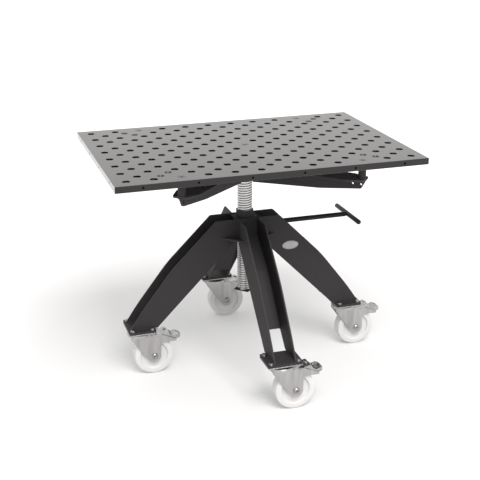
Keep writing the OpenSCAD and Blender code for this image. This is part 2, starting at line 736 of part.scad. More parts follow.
// Pressed fork: a channel with rounded bends, cut to the side view, fused with the turned crown
module fork(turn) {
    half = fork_w / 2;
    inside = half - fork_t;
    slot_x = pivot_x - pivot_d * 5 / 4;
    channel = concat(
        rounded([[half, 0], [half, crown_z], [-half, crown_z], [-half, 0]], [0, fork_round, fork_round, 0]),
        rounded([[-inside, 0], [-inside, crown_z - fork_t], [inside, crown_z - fork_t], [inside, 0]],
            [0, fork_round - fork_t, fork_round - fork_t, 0]));
    color(zinc_color) at_swivel(turn) difference() {
        union() {
            intersection() {
                translate([-crown_d, 0, 0]) rotate([90, 0, 90]) linear_extrude(3 * crown_d) polygon(channel);
                slab_xz(fork_side(), fork_w + 2 * over);
                translate([0, 0, -over]) linear_extrude(crown_z + 2 * over) union() {
                    circle(d = crown_d);
                    translate([0, -fork_w]) square([2 * crown_d, 2 * fork_w]);
                }
            }
            intersection() {
                linear_extrude(horn_top_z) pressed_legs(half);
                slab_xz(fork_side(), fork_w + 4 * fork_step);
            }
            crown();
        }
        translate([0, 0, -over]) cylinder(d = kingpin_d + 2 * run_fit, h = crown_z + 2 * over);
        translate([trail, 0, axle_z]) bar_along_y(axle_d + 2 * run_fit, -fork_w, fork_w);
        translate([pivot_x, 0, pivot_z]) bar_along_y(pivot_d + 2 * run_fit, -fork_w, fork_w);
        translate([step_x, -inside - fork_step, 0]) cube([crown_d * 2, 2 * (inside + fork_step), horn_top_z]);
        translate([slot_x, -fork_w, horn_top_z]) cube([crown_d * 2, 2 * fork_w, crown_z]);
    }
}

module left_fork() fork(left_turn);
module right_fork() fork(right_turn);
module front_fork() fork(front_turn);
module rear_fork() fork(rear_turn);

// Axle bolt with its head and nut on the fork's outer faces
module axle(turn) color(zinc_color) at_swivel(turn) translate([trail, 0, axle_z]) {
    half = fork_w / 2 + fork_step;
    bar_along_y(axle_d, -half - over, half + axle_nut_h + axle_d / 6);
    translate([0, -half, 0]) rotate([90, 0, 0]) difference() {
        union() {
            cylinder(d = axle_head_d, h = axle_head_h / 3);
            translate([0, 0, axle_head_h / 3])
                cylinder(d1 = axle_head_d, d2 = axle_head_d * 2 / 3, h = axle_head_h * 2 / 3);
        }
        translate([0, 0, axle_head_h / 3]) hexagon(axle_socket_w, axle_head_h);
    }
    translate([0, half + axle_nut_h, 0]) rotate([90, 0, 0]) hexagon(axle_nut_w, axle_nut_h);
}

module left_axle() axle(left_turn);
module right_axle() axle(right_turn);
module front_axle() axle(front_turn);
module rear_axle() axle(rear_turn);

// Moulded wheel: half section from the bore out to the tread, turned about the axle
module wheel(turn) {
    bore = axle_d / 2 + run_fit;
    tread = wheel_d / 2;
    edge = wheel_w / 2;
    disc = edge - wheel_recess;
    hub = fork_w / 2 - fork_t - hub_gap;
    half = [[bore, hub], [hub_d / 2, hub], [hub_d / 2 + hub - disc, disc], [tread - rim_t - wheel_recess / 2, disc],
        [tread - rim_t, edge], [tread, edge]];
    half_round = [0, 2 * hub_gap, wheel_recess / 2, wheel_recess / 3, wheel_recess / 3, tread_round];
    section = rounded(concat(half, [for (i = [5:-1:0]) [half[i].x, -half[i].y]]),
        concat(half_round, reversed(half_round)), 4);
    color(nylon_color) at_swivel(turn) translate([trail, 0, axle_z]) rotate([90, 0, 0])
        rotate_extrude($fn = 96) polygon(section);
}

module left_wheel() wheel(left_turn);
module right_wheel() wheel(right_turn);
module front_wheel() wheel(front_turn);
module rear_wheel() wheel(rear_turn);

// Pressed brake pedal: a hood with two lobes, a hollow round tread, cheeks, a pin and a brake shoe
pedal_top_share = [[0.163, 0.5], [0.321, 1], [0.434, 0.89], [0.5, 0.14], [0.653, -0.36], [0.776, -0.14],
    [0.898, -0.18], [0.99, -0.36]];
pedal_low_share = [[1, -0.64], [0.949, -0.84], [0.714, -0.76], [0.184, -0.6]];
function pedal_point(share) = [pivot_x + share.x * pedal_l, pivot_z + share.y * (share.y > 0 ? pedal_rise : pedal_drop)];

// Plan of the pedal with its round end, narrower by the given margin
module pedal_plan(width, margin) {
    translate([pivot_x + pedal_l - width / 2, 0]) circle(d = width - 2 * margin);
    translate([pivot_x - pedal_l, margin - width / 2]) square([2 * pedal_l - width / 2, width - 2 * margin]);
}

module brake_pedal(turn) {
    outer_w = fork_w + 2 * fork_step - 2 * fork_t - 2 * cheek_gap;
    inner_w = wheel_w + 2 * cheek_gap;
    neck = pivot_d;
    top = [for (s = pedal_top_share) pedal_point(s)];
    low = [for (s = pedal_low_share) pedal_point(s)];
    hood = rounded(concat([[pivot_x - neck, pivot_z], [pivot_x - neck * 3 / 4, pivot_z + neck]], top, low,
        [[pivot_x - neck, pivot_z - neck]]),
        concat([0, neck / 4], [neck, neck, neck, neck, neck, neck, neck, neck * 3 / 4], [neck / 2, neck / 2, neck, 0],
            [neck / 4]), 3);
    high = pivot_z + 2 * pedal_rise;
    deep = pivot_z - 2 * pedal_drop;
    cavity = concat([[pivot_x + neck, deep], [pivot_x + neck, pivot_z + neck / 2]], [for (p = top) p - [0, pedal_t]],
        [[pivot_x + 2 * pedal_l, deep]]);
    hollow = concat([for (p = top) p - [0, dish_depth]], [[pivot_x + 2 * pedal_l, high], top[0] + [0, pedal_rise]]);
    shoe_x = pivot_x + neck + pedal_t;
    color(pedal_color) at_swivel(turn) {
        difference() {
            intersection() {
                slab_xz(hood, outer_w);
                linear_extrude(high) pedal_plan(outer_w, 0);
            }
            intersection() {
                slab_xz(cavity, inner_w);
                linear_extrude(high) pedal_plan(outer_w, pedal_t);
            }
            translate([top[0].x + pedal_t, -lobe_gap / 2, top[0].y + pedal_t])
                cube([top[3].x - top[0].x, lobe_gap, pedal_rise]);
            translate([trail, 0, axle_z]) bar_along_y(wheel_d + shoe_gap, -inner_w / 2, inner_w / 2);
            intersection() {
                slab_xz(hollow, outer_w);
                translate([pivot_x + pedal_l - outer_w / 2, 0, 0]) cylinder(d = dish_d, h = high);
            }
        }
        difference() {
            intersection() {
                slab_xz(hood, inner_w + pedal_t);
                translate([shoe_x, -outer_w / 2, pivot_z - pedal_drop])
                    cube([shoe_l, outer_w, pedal_drop + pedal_rise / 2]);
            }
            translate([trail, 0, axle_z]) bar_along_y(wheel_d + 2 * shoe_gap, -fork_w, fork_w);
        }
        translate([pivot_x, 0, pivot_z])
            bar_along_y(pivot_d, -fork_w / 2 - fork_step - fork_t / 2, fork_w / 2 + fork_step + fork_t / 2);
    }
}

module left_brake_pedal() brake_pedal(left_turn);
module right_brake_pedal() brake_pedal(right_turn);
module front_brake_pedal() brake_pedal(front_turn);
module rear_brake_pedal() brake_pedal(rear_turn);

table_plate();
plate_bolts();
corner_posts();
middle_post();
cross_hub();
arm_front_left();
arm_front_right();
arm_rear_left();
arm_rear_right();
spindle();
end_plate();
end_screw();
spindle_nut();
hub_top_plate();
hub_bottom_plate();
corner_gussets();
clamp_boss();
arch_plate_front();
arch_plate_rear();
oval_plate();
front_leg_left_plate();
front_leg_right_plate();
rear_leg_left_plate();
rear_leg_right_plate();
left_web();
right_web();
front_web();
rear_web();
left_foot_plate();
right_foot_plate();
front_foot_plate();
rear_foot_plate();
pressure_pad();
clamp_rod();
cross_bar();
caster_bolts();
kingpins();
ball_races();
left_caster_plate();
right_caster_plate();
front_caster_plate();
rear_caster_plate();
left_fork();
right_fork();
front_fork();
rear_fork();
left_axle();
right_axle();
front_axle();
rear_axle();
left_wheel();
right_wheel();
front_wheel();
rear_wheel();
left_brake_pedal();
right_brake_pedal();
front_brake_pedal();
rear_brake_pedal();
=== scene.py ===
import math
import bmesh
import bpy
from mathutils import Matrix, Vector


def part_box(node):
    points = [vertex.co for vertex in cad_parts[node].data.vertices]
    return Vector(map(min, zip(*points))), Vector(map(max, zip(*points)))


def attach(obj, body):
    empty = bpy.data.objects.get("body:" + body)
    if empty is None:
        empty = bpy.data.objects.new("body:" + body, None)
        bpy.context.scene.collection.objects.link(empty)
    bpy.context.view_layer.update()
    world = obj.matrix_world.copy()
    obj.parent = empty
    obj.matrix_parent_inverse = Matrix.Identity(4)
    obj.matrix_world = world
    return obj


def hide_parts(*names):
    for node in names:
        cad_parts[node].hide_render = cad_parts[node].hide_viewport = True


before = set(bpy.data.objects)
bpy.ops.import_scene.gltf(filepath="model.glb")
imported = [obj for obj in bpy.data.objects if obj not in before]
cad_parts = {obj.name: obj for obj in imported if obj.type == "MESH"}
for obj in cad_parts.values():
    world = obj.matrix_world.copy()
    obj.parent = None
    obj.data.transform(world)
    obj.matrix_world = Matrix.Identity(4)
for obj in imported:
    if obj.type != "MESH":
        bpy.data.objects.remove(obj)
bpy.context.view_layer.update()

# The view: a camera on a tripod in front of the table, a little to the left of its middle and
# looking down on the plate, with a longish lens. The floor and the backdrop are one plain white.
view_azimuth = math.radians(-17.86)
view_elevation = math.radians(20.427)
view_distance = 2.9248
view_target = Vector((-0.34997, -1.02415, 0.935))
sensor_width = 36.0
picture_width = 480
focal_pixels = 996.1
view_back = Vector((math.sin(view_azimuth) * math.cos(view_elevation),
                    -math.cos(view_azimuth) * math.cos(view_elevation),
                    math.sin(view_elevation)))
camera = bpy.data.objects.new("camera", bpy.data.cameras.new("camera"))
bpy.context.scene.collection.objects.link(camera)
camera.data.sensor_width = sensor_width
camera.data.lens = focal_pixels / picture_width * sensor_width
camera.data.clip_end = 50
camera.location = view_target + view_back * view_distance
camera.rotation_mode = "QUATERNION"
camera.rotation_quaternion = (-view_back).to_track_quat("-Z", "Y")
bpy.context.scene.camera = camera
bpy.context.scene.view_settings.view_transform = "Standard"


def fill(tree, socket, value):
    """Links an input where the value is a socket or a node, and sets it otherwise."""
    if isinstance(value, bpy.types.Node):
        value = value.outputs[0]
    if isinstance(value, bpy.types.NodeSocket):
        tree.links.new(value, socket)
    else:
        socket.default_value = value


def node_of(tree, kind, **values):
    """Adds a node and fills its inputs by their names."""
    node = tree.nodes.new(kind)
    for name, value in values.items():
        fill(tree, node.inputs[name.replace("_", " ")], value)
    return node


def ordered(tree, kind, values, operation=None):
    """Adds a node, fills its inputs in their order and gives its outputs."""
    node = tree.nodes.new(kind)
    if operation:
        node.operation = operation
    for socket, value in zip(node.inputs, values):
        fill(tree, socket, value)
    return node.outputs


def maths(tree, operation, *values):
    """The result of a math node."""
    return ordered(tree, "ShaderNodeMath", values, operation)[0]


def own_place(tree):
    """A point's place on its own piece."""
    return node_of(tree, "ShaderNodeTexCoord").outputs["Object"]


def blank_tree(owner):
    """Turns on a material's or a world's nodes and empties its tree."""
    owner.use_nodes = True
    owner.node_tree.nodes.clear()
    return owner.node_tree


def placed(name, data):
    """A new object at the origin that holds this mesh or lamp."""
    obj = bpy.data.objects.new(name, data)
    bpy.context.scene.collection.objects.link(obj)
    return obj


def mesh_object(name, vertices, faces):
    """A new object at the origin with this mesh."""
    mesh = bpy.data.meshes.new(name)
    mesh.from_pydata([tuple(v) for v in vertices], [], faces)
    mesh.update()
    return placed(name, mesh)


floor_size = 30.0
floor_drop = 0.0004
floor = mesh_object("floor", [(x * floor_size / 2, y * floor_size / 2, -floor_drop)
                              for x, y in ((-1, -1), (1, -1), (1, 1), (-1, 1))], [(0, 1, 2, 3)])

# The floor glows a little more with the distance, so that it runs into the backdrop unseen.
floor_colour = (0.62, 0.612, 0.608, 1)
floor_glow = 0.17
far_glow = 0.60
glow_start = 0.9
glow_reach = 3.2
paper = bpy.data.materials.new("white_paper")
tree = blank_tree(paper)
rays = node_of(tree, "ShaderNodeLightPath").outputs
seen = maths(tree, "MAXIMUM", rays["Is Camera Ray"], rays["Is Glossy Ray"])
away = ordered(tree, "ShaderNodeVectorMath", [own_place(tree)], "LENGTH")["Value"]
spread = node_of(tree, "ShaderNodeMapRange", Value=away, From_Min=glow_start, From_Max=glow_reach,
                 To_Min=floor_glow, To_Max=far_glow)
matt = node_of(tree, "ShaderNodeBsdfDiffuse", Color=floor_colour)
light = node_of(tree, "ShaderNodeEmission", Strength=maths(tree, "MULTIPLY", seen, spread))
both = ordered(tree, "ShaderNodeAddShader", (matt, light))[0]
node_of(tree, "ShaderNodeOutputMaterial", Surface=both)
floor.data.materials.append(paper)

# The backdrop is pure white where it's seen, and a little dimmer as a light.
ambient = 0.98
world = bpy.data.worlds.new("studio")
bpy.context.scene.world = world
tree = blank_tree(world)
rays = node_of(tree, "ShaderNodeLightPath").outputs
shiny = maths(tree, "MAXIMUM", rays["Is Glossy Ray"], rays["Is Transmission Ray"])
seen = maths(tree, "MAXIMUM", rays["Is Camera Ray"], shiny)
level = node_of(tree, "ShaderNodeMapRange", Value=seen, To_Min=ambient, To_Max=1.0)
sky = node_of(tree, "ShaderNodeBackground", Color=(1, 1, 1, 1), Strength=level)
node_of(tree, "ShaderNodeOutputWorld", Surface=sky)

# One large soft lamp stands high in front of the table.
lamp_place = Vector((0.2, -5.2, 7.5))
lamp_aim = Vector((0, 0, 0.2))
lamp_size = 4.4
lamp_power = 650
lamp = bpy.data.lights.new("softbox_front", "AREA")
lamp.shape = "SQUARE"
lamp.size = lamp_size
lamp.energy = lamp_power
softbox = placed("softbox_front", lamp)
softbox.location = lamp_place
softbox.rotation_mode = "QUATERNION"
softbox.rotation_quaternion = (lamp_aim - lamp_place).to_track_quat("-Z", "Y")

# Table plate: one thick slab of burnished steel, milled flat and bored through in two grids of
# clamping bores; bolts hold it down, pairs of countersunk holes and holes in its edges are tapped.
plate_low, plate_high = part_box("table_plate")
bore_radius = 0.014
bore_chamfer = 0.0007
bore_mouth = bore_radius + bore_chamfer
bore_pitch = 0.1
bore_margin = 0.05
post_place = 0.35
pair_place = (0.4, 0.3)
pair_step = 0.025 * math.cos(math.radians(45))
sink_hole_radius = 0.007
bolt_hole_radius = 0.00805
bolt_head_depth = 0.012
tap_radius = 0.00425
tap_depth = 0.025
tap_tip_radius = 0.00001
tap_pitch = 0.2
least_land = 0.030
hole_sides = 40
rim_chamfer = 0.0008


def lathe(name, profile, segments):
    """A surface of revolution about Z; the profile's (radius, z) points run so that faces point out."""
    vertices = []
    faces = []
    for radius, z in profile:
        for i in range(segments):
            angle = 2 * math.pi * i / segments
            vertices.append((radius * math.cos(angle), radius * math.sin(angle), z))
    for row in range(len(profile) - 1):
        for i in range(segments):
            j = (i + 1) % segments
            low, high = row * segments, (row + 1) * segments
            faces.append((low + i, low + j, high + j, high + i))
    return mesh_object(name, vertices, faces)


def points_object(name, places):
    """An object that holds only loose points, for a tree to put holes or copies on."""
    return mesh_object(name, [(x, y, 0) for x, y in places], [])


def tree_with(name, sockets):
    """A new geometry tree with a geometry output and these named inputs."""
    tree = bpy.data.node_groups.new(name, "GeometryNodeTree")
    tree.interface.new_socket("Geometry", in_out="OUTPUT", socket_type="NodeSocketGeometry")
    for label, kind in sockets:
        tree.interface.new_socket(label, in_out="INPUT", socket_type=kind)
    return tree, tree.nodes.new("NodeGroupInput").outputs, tree.nodes.new("NodeGroupOutput").inputs


def grow(name, tree, material, values, source=None):
    """Runs a geometry tree on an object and keeps the result as a plain mesh."""
    holder = source or mesh_object(name + "_source", [], [])
    modifier = holder.modifiers.new("tree", "NODES")
    modifier.node_group = tree
    sockets = {item.name: item.identifier for item in tree.interface.items_tree if item.in_out == "INPUT"}
    for label, value in values.items():
        modifier[sockets[label]] = value
    modifier[sockets["Material"]] = material
    bpy.context.view_layer.update()
    held = holder.evaluated_get(bpy.context.evaluated_depsgraph_get())
    mesh = bpy.data.meshes.new_from_object(held, depsgraph=bpy.context.evaluated_depsgraph_get())
    bpy.data.objects.remove(holder)
    mesh.name = name
    return placed(name, mesh)


def crisp(obj, angle=28):
    """Smooth shading that stays sharp where faces meet at more than the angle."""
    obj.data.shade_smooth()
    obj.data.set_sharp_from_angle(angle=math.radians(angle))
    return obj


def finished(obj, body, slot, *nodes):
    """Puts a piece on its body and hides the nodes that it stands for. The slot is not used."""
    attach(obj, body)
    if nodes:
        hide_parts(*nodes)
    return obj


def painted(obj, material):
    """Gives a piece this one material."""
    obj.data.materials.clear()
    obj.data.materials.append(material)
    return obj


# Panel with round holes: a rectangle's outline and the holes' rims are filled as one flat face.
panel, given, result = tree_with("drilled_panel", [
    ("Length", "NodeSocketFloat"), ("Width", "NodeSocketFloat"), ("Rims", "NodeSocketGeometry")])
sheet = node_of(panel, "GeometryNodeCurvePrimitiveQuadrilateral", Width=given["Length"],
                Height=given["Width"])
rims = node_of(panel, "GeometryNodeMeshToCurve", Mesh=given["Rims"])
outline = node_of(panel, "GeometryNodeJoinGeometry")
fill(panel, outline.inputs[0], sheet)
fill(panel, outline.inputs[0], rims)
fill(panel, result[0], node_of(panel, "GeometryNodeFillCurve", Curve=outline))

# Ring of points round each place, for a panel's rims.
ring, given, result = tree_with("rims", [
    ("Places", "NodeSocketGeometry"), ("Radius", "NodeSocketFloat"), ("Sides", "NodeSocketInt")])
circle = node_of(ring, "GeometryNodeMeshCircle", Radius=given["Radius"], Vertices=given["Sides"])
copies = node_of(ring, "GeometryNodeInstanceOnPoints", Points=given["Places"], Instance=circle)
fill(ring, result[0], node_of(ring, "GeometryNodeRealizeInstances", Geometry=copies))


def group_of(tree, group, **values):
    """A group node inside a tree, with its inputs filled; gives its outputs."""
    node = tree.nodes.new(tree.bl_idname.replace("Tree", "Group"))
    node.node_tree = group
    for name, value in values.items():
        fill(tree, node.inputs[name.replace("_", " ")], value)
    return node.outputs


def joined(tree, *parts):
    """The parts as one geometry."""
    node = tree.nodes.new("GeometryNodeJoinGeometry")
    for part in parts:
        fill(tree, node.inputs[0], part)
    return node


def moved(tree, part, place=(0, 0, 0), turn=(0, 0, 0)):
    """The part turned and set at a place."""
    return node_of(tree, "GeometryNodeTransform", Geometry=part, Translation=place, Rotation=turn)


def walls(tree, places, wall):
    """A copy of the wall object at each place."""
    info = node_of(tree, "GeometryNodeObjectInfo", Object=wall)
    copies = node_of(tree, "GeometryNodeInstanceOnPoints", Points=places, Instance=info.outputs["Geometry"])
    return node_of(tree, "GeometryNodeRealizeInstances", Geometry=copies)


plate_length, plate_width, plate_thick = plate_high - plate_low
plate_top = plate_high.z
bolt_places = [(0, 0)] + [(x * post_place, y * post_place) for x in (-1, 1) for y in (-1, 1)]
pair_places = [(x * (pair_place[0] + e * pair_step), y * (pair_place[1] + e * pair_step))
               for x in (-1, 1) for y in (-1, 1) for e in (-1, 1)]
columns = math.floor((plate_length - 2 * bore_margin) / bore_pitch + 0.5) + 1
rows = math.floor((plate_width - 2 * bore_margin) / bore_pitch + 0.5) + 1

slab, given, result = tree_with("bored_plate", [
    ("Length", "NodeSocketFloat"), ("Width", "NodeSocketFloat"), ("Thickness", "NodeSocketFloat"),
    ("Pitch", "NodeSocketFloat"), ("Columns", "NodeSocketInt"), ("Rows", "NodeSocketInt"),
    ("Least Land", "NodeSocketFloat"), ("Rim", "NodeSocketFloat"), ("Sides", "NodeSocketInt"),
    ("Bore Mouth", "NodeSocketFloat"), ("Sink Mouth", "NodeSocketFloat"), ("Bolt Hole", "NodeSocketFloat"),
    ("Sink Hole", "NodeSocketFloat"), ("Tap Radius", "NodeSocketFloat"), ("Tap Pitch", "NodeSocketFloat"),
    ("Bolts", "NodeSocketObject"), ("Sinks", "NodeSocketObject"), ("Bore Wall", "NodeSocketObject"),
    ("Bolt Wall", "NodeSocketObject"), ("Sink Wall", "NodeSocketObject"), ("Tap Wall", "NodeSocketObject"),
    ("Material", "NodeSocketMaterial")])


def sum_of(tree, a, b, factor=1.0):
    """a + b * factor as a node's value."""
    return maths(tree, "MULTIPLY_ADD", b, factor, a)


def product(tree, a, b):
    """a * b as a node's value."""
    return maths(tree, "MULTIPLY", a, b)


def grid_points(tree, nx, ny, pitch):
    """The points of a grid, with no faces."""
    grid = node_of(tree, "GeometryNodeMeshGrid", Vertices_X=nx, Vertices_Y=ny,
                   Size_X=product(tree, sum_of(tree, nx, -1.0), pitch),
                   Size_Y=product(tree, sum_of(tree, ny, -1.0), pitch))
    return node_of(tree, "GeometryNodeMeshToPoints", Mesh=grid)


bolts = node_of(slab, "GeometryNodeObjectInfo", Object=given["Bolts"]).outputs["Geometry"]
sinks = node_of(slab, "GeometryNodeObjectInfo", Object=given["Sinks"]).outputs["Geometry"]
outer_grid = grid_points(slab, given["Columns"], given["Rows"], given["Pitch"])
inner_grid = grid_points(slab, sum_of(slab, given["Columns"], -1.0),
                         sum_of(slab, given["Rows"], -1.0), given["Pitch"])
near = node_of(slab, "GeometryNodeProximity")
near.target_element = "POINTS"
fill(slab, near.inputs[0], joined(slab, bolts, sinks))
close = maths(slab, "LESS_THAN", near.outputs["Distance"], given["Least Land"])
bores = node_of(slab, "GeometryNodeDeleteGeometry", Geometry=joined(slab, outer_grid, inner_grid),
                Selection=close)


def rims_at(places, radius):
    """A hole's rim round each place."""
    return group_of(slab, ring, Places=places, Radius=radius, Sides=given["Sides"])[0]


twin_reach = 0.001


def taps(count):
    """Points of the tapped holes along an edge, all on the X axis."""
    line = node_of(slab, "GeometryNodeMeshGrid", Vertices_X=count, Vertices_Y=2,
                   Size_X=product(slab, sum_of(slab, count, -1.0), given["Tap Pitch"]),
                   Size_Y=0.0)
    dots = node_of(slab, "GeometryNodeMergeByDistance", Geometry=line, Distance=twin_reach)
    return node_of(slab, "GeometryNodeMeshToPoints", Mesh=dots)


inner_length = sum_of(slab, given["Length"], given["Rim"], -2.0)
inner_width = sum_of(slab, given["Width"], given["Rim"], -2.0)
inner_thick = sum_of(slab, given["Thickness"], given["Rim"], -2.0)
bore_rims = rims_at(bores, given["Bore Mouth"])
top_rims = joined(slab, bore_rims, rims_at(bolts, given["Bore Mouth"]), rims_at(sinks, given["Sink Mouth"]))
under_rims = joined(slab, bore_rims, rims_at(bolts, given["Bolt Hole"]), rims_at(sinks, given["Sink Hole"]))
top, under = (group_of(slab, panel, Length=inner_length, Width=inner_width, Rims=rims)[0]
              for rims in (top_rims, under_rims))
under = node_of(slab, "GeometryNodeFlipFaces", Mesh=under)
half_thick = plate_thick / 2
parts = [moved(slab, top, (0, 0, half_thick)), moved(slab, under, (0, 0, -half_thick))]
right_angle = math.pi / 2
for length, reach, turn in ((plate_length, plate_width / 2, 0), (plate_width, plate_length / 2, right_angle)):
    spots = taps(round(length / tap_pitch))
    face = group_of(slab, panel, Length=length, Width=inner_thick,
                    Rims=rims_at(spots, given["Tap Radius"]))[0]
    side = joined(slab, face, walls(slab, spots, given["Tap Wall"]))
    side = moved(slab, side, (0, 0, reach))
    upright = moved(slab, side, turn=(right_angle, 0, 0))
    parts += [moved(slab, upright, turn=(0, 0, turn)),
              moved(slab, upright, turn=(0, 0, turn + math.pi))]
parts += [moved(slab, walls(slab, places, given[wall]), (0, 0, half_thick))
          for places, wall in ((bores, "Bore Wall"), (bolts, "Bolt Wall"), (sinks, "Sink Wall"))]

# The rim's chamfers come from a block whose outer rings are drawn in and whose flat faces go.
block_rings = 4
outer_ring_level = 0.4
flat_face_limit = 0.9
size = node_of(slab, "ShaderNodeCombineXYZ", X=given["Length"], Y=given["Width"], Z=given["Thickness"])
block = node_of(slab, "GeometryNodeMeshCube", Size=size, Vertices_Z=block_rings)
split = node_of(slab, "ShaderNodeSeparateXYZ", Vector=node_of(slab, "GeometryNodeInputPosition")).outputs
outer_ring = maths(slab, "GREATER_THAN", maths(slab, "ABSOLUTE", split[2]),
                   product(slab, given["Thickness"], outer_ring_level))
inset = product(slab, outer_ring, given["Rim"])
signs = [maths(slab, "SIGN", split[i]) for i in range(3)]
shelf = sum_of(slab, product(slab, given["Thickness"], 0.5),
               product(slab, sum_of(slab, 1.0, outer_ring, -1.0), given["Rim"]), -1.0)
drawn = node_of(slab, "ShaderNodeCombineXYZ",
                X=sum_of(slab, split[0], product(slab, signs[0], inset), -1.0),
                Y=sum_of(slab, split[1], product(slab, signs[1], inset), -1.0),
                Z=product(slab, signs[2], shelf))
shaped = node_of(slab, "GeometryNodeSetPosition", Geometry=block, Position=drawn)
facing = node_of(slab, "ShaderNodeSeparateXYZ", Vector=node_of(slab, "GeometryNodeInputNormal")).outputs
faced_x, faced_y, faced_z = (maths(slab, "ABSOLUTE", facing[i]) for i in range(3))
most_faced = maths(slab, "MAXIMUM", maths(slab, "MAXIMUM", faced_x, faced_y), faced_z)
flat = maths(slab, "GREATER_THAN", most_faced, flat_face_limit)
strips = node_of(slab, "GeometryNodeDeleteGeometry", Geometry=shaped, Selection=flat)
strips.domain = "FACE"
parts.append(strips)
weld_reach = 0.00002
welded = node_of(slab, "GeometryNodeMergeByDistance", Geometry=joined(slab, *parts), Distance=weld_reach)
coated = node_of(slab, "GeometryNodeSetMaterial", Geometry=welded, Material=given["Material"])
fill(slab, result[0], coated)


# Effects that several finishes share: a fine and a broad grain, and a mask for edges that have
# been rubbed, found where the surface turns within a small radius.
def shader_group(name, sockets_in, sockets_out):
    """A new shader node group with these named inputs and outputs."""
    group = bpy.data.node_groups.new(name, "ShaderNodeTree")
    for label, kind, value in sockets_in:
        socket = group.interface.new_socket(label, in_out="INPUT", socket_type=kind)
        socket.default_value = value
    for label, kind in sockets_out:
        group.interface.new_socket(label, in_out="OUTPUT", socket_type=kind)
    return group, group.nodes.new("NodeGroupInput").outputs, group.nodes.new("NodeGroupOutput").inputs


grain, given, result = shader_group("grain", [
    ("Scale", "NodeSocketFloat", 300.0), ("Stretch", "NodeSocketVector", (1, 1, 1)),
    ("Broad Scale", "NodeSocketFloat", 6.0)], [("Fine", "NodeSocketFloat"), ("Broad", "NodeSocketFloat")])
where = own_place(grain)
pulled = ordered(grain, "ShaderNodeVectorMath", (where, given["Stretch"]), "MULTIPLY")[0]
fine = node_of(grain, "ShaderNodeTexNoise", Vector=pulled, Scale=given["Scale"], Detail=3.0)
broad = node_of(grain, "ShaderNodeTexNoise", Vector=where, Scale=given["Broad Scale"], Detail=4.0)
fill(grain, result["Fine"], fine)
fill(grain, result["Broad"], broad)

rubbed, given, result = shader_group("rubbed_edges", [
    ("Radius", "NodeSocketFloat", 0.0015), ("Reach", "NodeSocketFloat", 0.25),
    ("Break Scale", "NodeSocketFloat", 90.0)], [("Mask", "NodeSocketFloat")])
softened = node_of(rubbed, "ShaderNodeBevel", Radius=given["Radius"])
softened.samples = 4
plain = node_of(rubbed, "ShaderNodeNewGeometry").outputs["Normal"]
turned = ordered(rubbed, "ShaderNodeVectorMath", (softened, plain), "DOT_PRODUCT")["Value"]
bend = node_of(rubbed, "ShaderNodeMapRange", Value=turned, From_Min=1.0, From_Max=0.8)
patches = node_of(rubbed, "ShaderNodeTexNoise", Vector=own_place(rubbed), Scale=given["Break Scale"],
                  Detail=4.0)
torn = node_of(rubbed, "ShaderNodeMapRange", Value=patches, From_Min=0.42, From_Max=0.62)
fill(rubbed, result["Mask"], product(rubbed, product(rubbed, bend, torn), given["Reach"]))


def mixed(tree, factor, a, b):
    """Colour a where factor is 0 and colour b where it is 1."""
    node = tree.nodes.new("ShaderNodeMix")
    node.data_type = "RGBA"
    for index, value in ((0, factor), (6, a), (7, b)):
        fill(tree, node.inputs[index], value)
    return node.outputs[2]


def between(tree, value, low, high):
    """A noise value spread over low to high."""
    return node_of(tree, "ShaderNodeMapRange", Value=value, From_Min=0.3, From_Max=0.7, To_Min=low,
                   To_Max=high)


def grazing(tree, power):
    """A value that rises from 0 where a surface faces the viewer to 1 where it's seen edge-on."""
    facing = node_of(tree, "ShaderNodeLayerWeight", Blend=0.5).outputs["Facing"]
    return maths(tree, "POWER", facing, power)


def found(tree, kind):
    """The tree's node of this type."""
    return next(node for node in tree.nodes if node.type == kind)


def finish_of(name, colour, tint, rough, metal, fine, broad, edge=None, bump=0.0, stretch=(1, 1, 1),
              painted_sheen=None, banded=False, **shader):
    """A finish: two close colours over a broad grain, roughness and bump over a fine one, rubbed edges.

    rough is (low, high), fine and broad are scales, edge is (colour, reach, radius) and painted_sheen is
    the (colour, power) of a painted sheen: the base colour turns to it where the surface is seen edge-on,
    as a painted reflection. A banded finish has its two colours along the fine grain."""
    material = bpy.data.materials.new(name)
    tree = blank_tree(material)
    noise = group_of(tree, grain, Scale=fine, Broad_Scale=broad, Stretch=stretch)
    shade = noise["Fine" if banded else "Broad"]
    base = mixed(tree, between(tree, shade, 0, 1), (*colour, 1), (*tint, 1))
    # Painted sheen: the colour turns towards the sheen colour where the surface is seen edge-on, standing in
    # for a reflection.
    if painted_sheen:
        base = mixed(tree, grazing(tree, painted_sheen[1]), base, (*painted_sheen[0], 1))
    if edge:
        wear = group_of(tree, rubbed, Reach=edge[1], Radius=edge[2])["Mask"]
        base = mixed(tree, wear, base, (*edge[0], 1))
    principled = node_of(tree, "ShaderNodeBsdfPrincipled", Base_Color=base, Metallic=metal,
                         Roughness=between(tree, noise["Fine"], *rough), **shader)
    if bump:
        relief = node_of(tree, "ShaderNodeBump", Height=noise["Fine"], Strength=1.0, Distance=bump)
        fill(tree, principled.inputs["Normal"], relief)
    node_of(tree, "ShaderNodeOutputMaterial", Surface=principled)
    return material


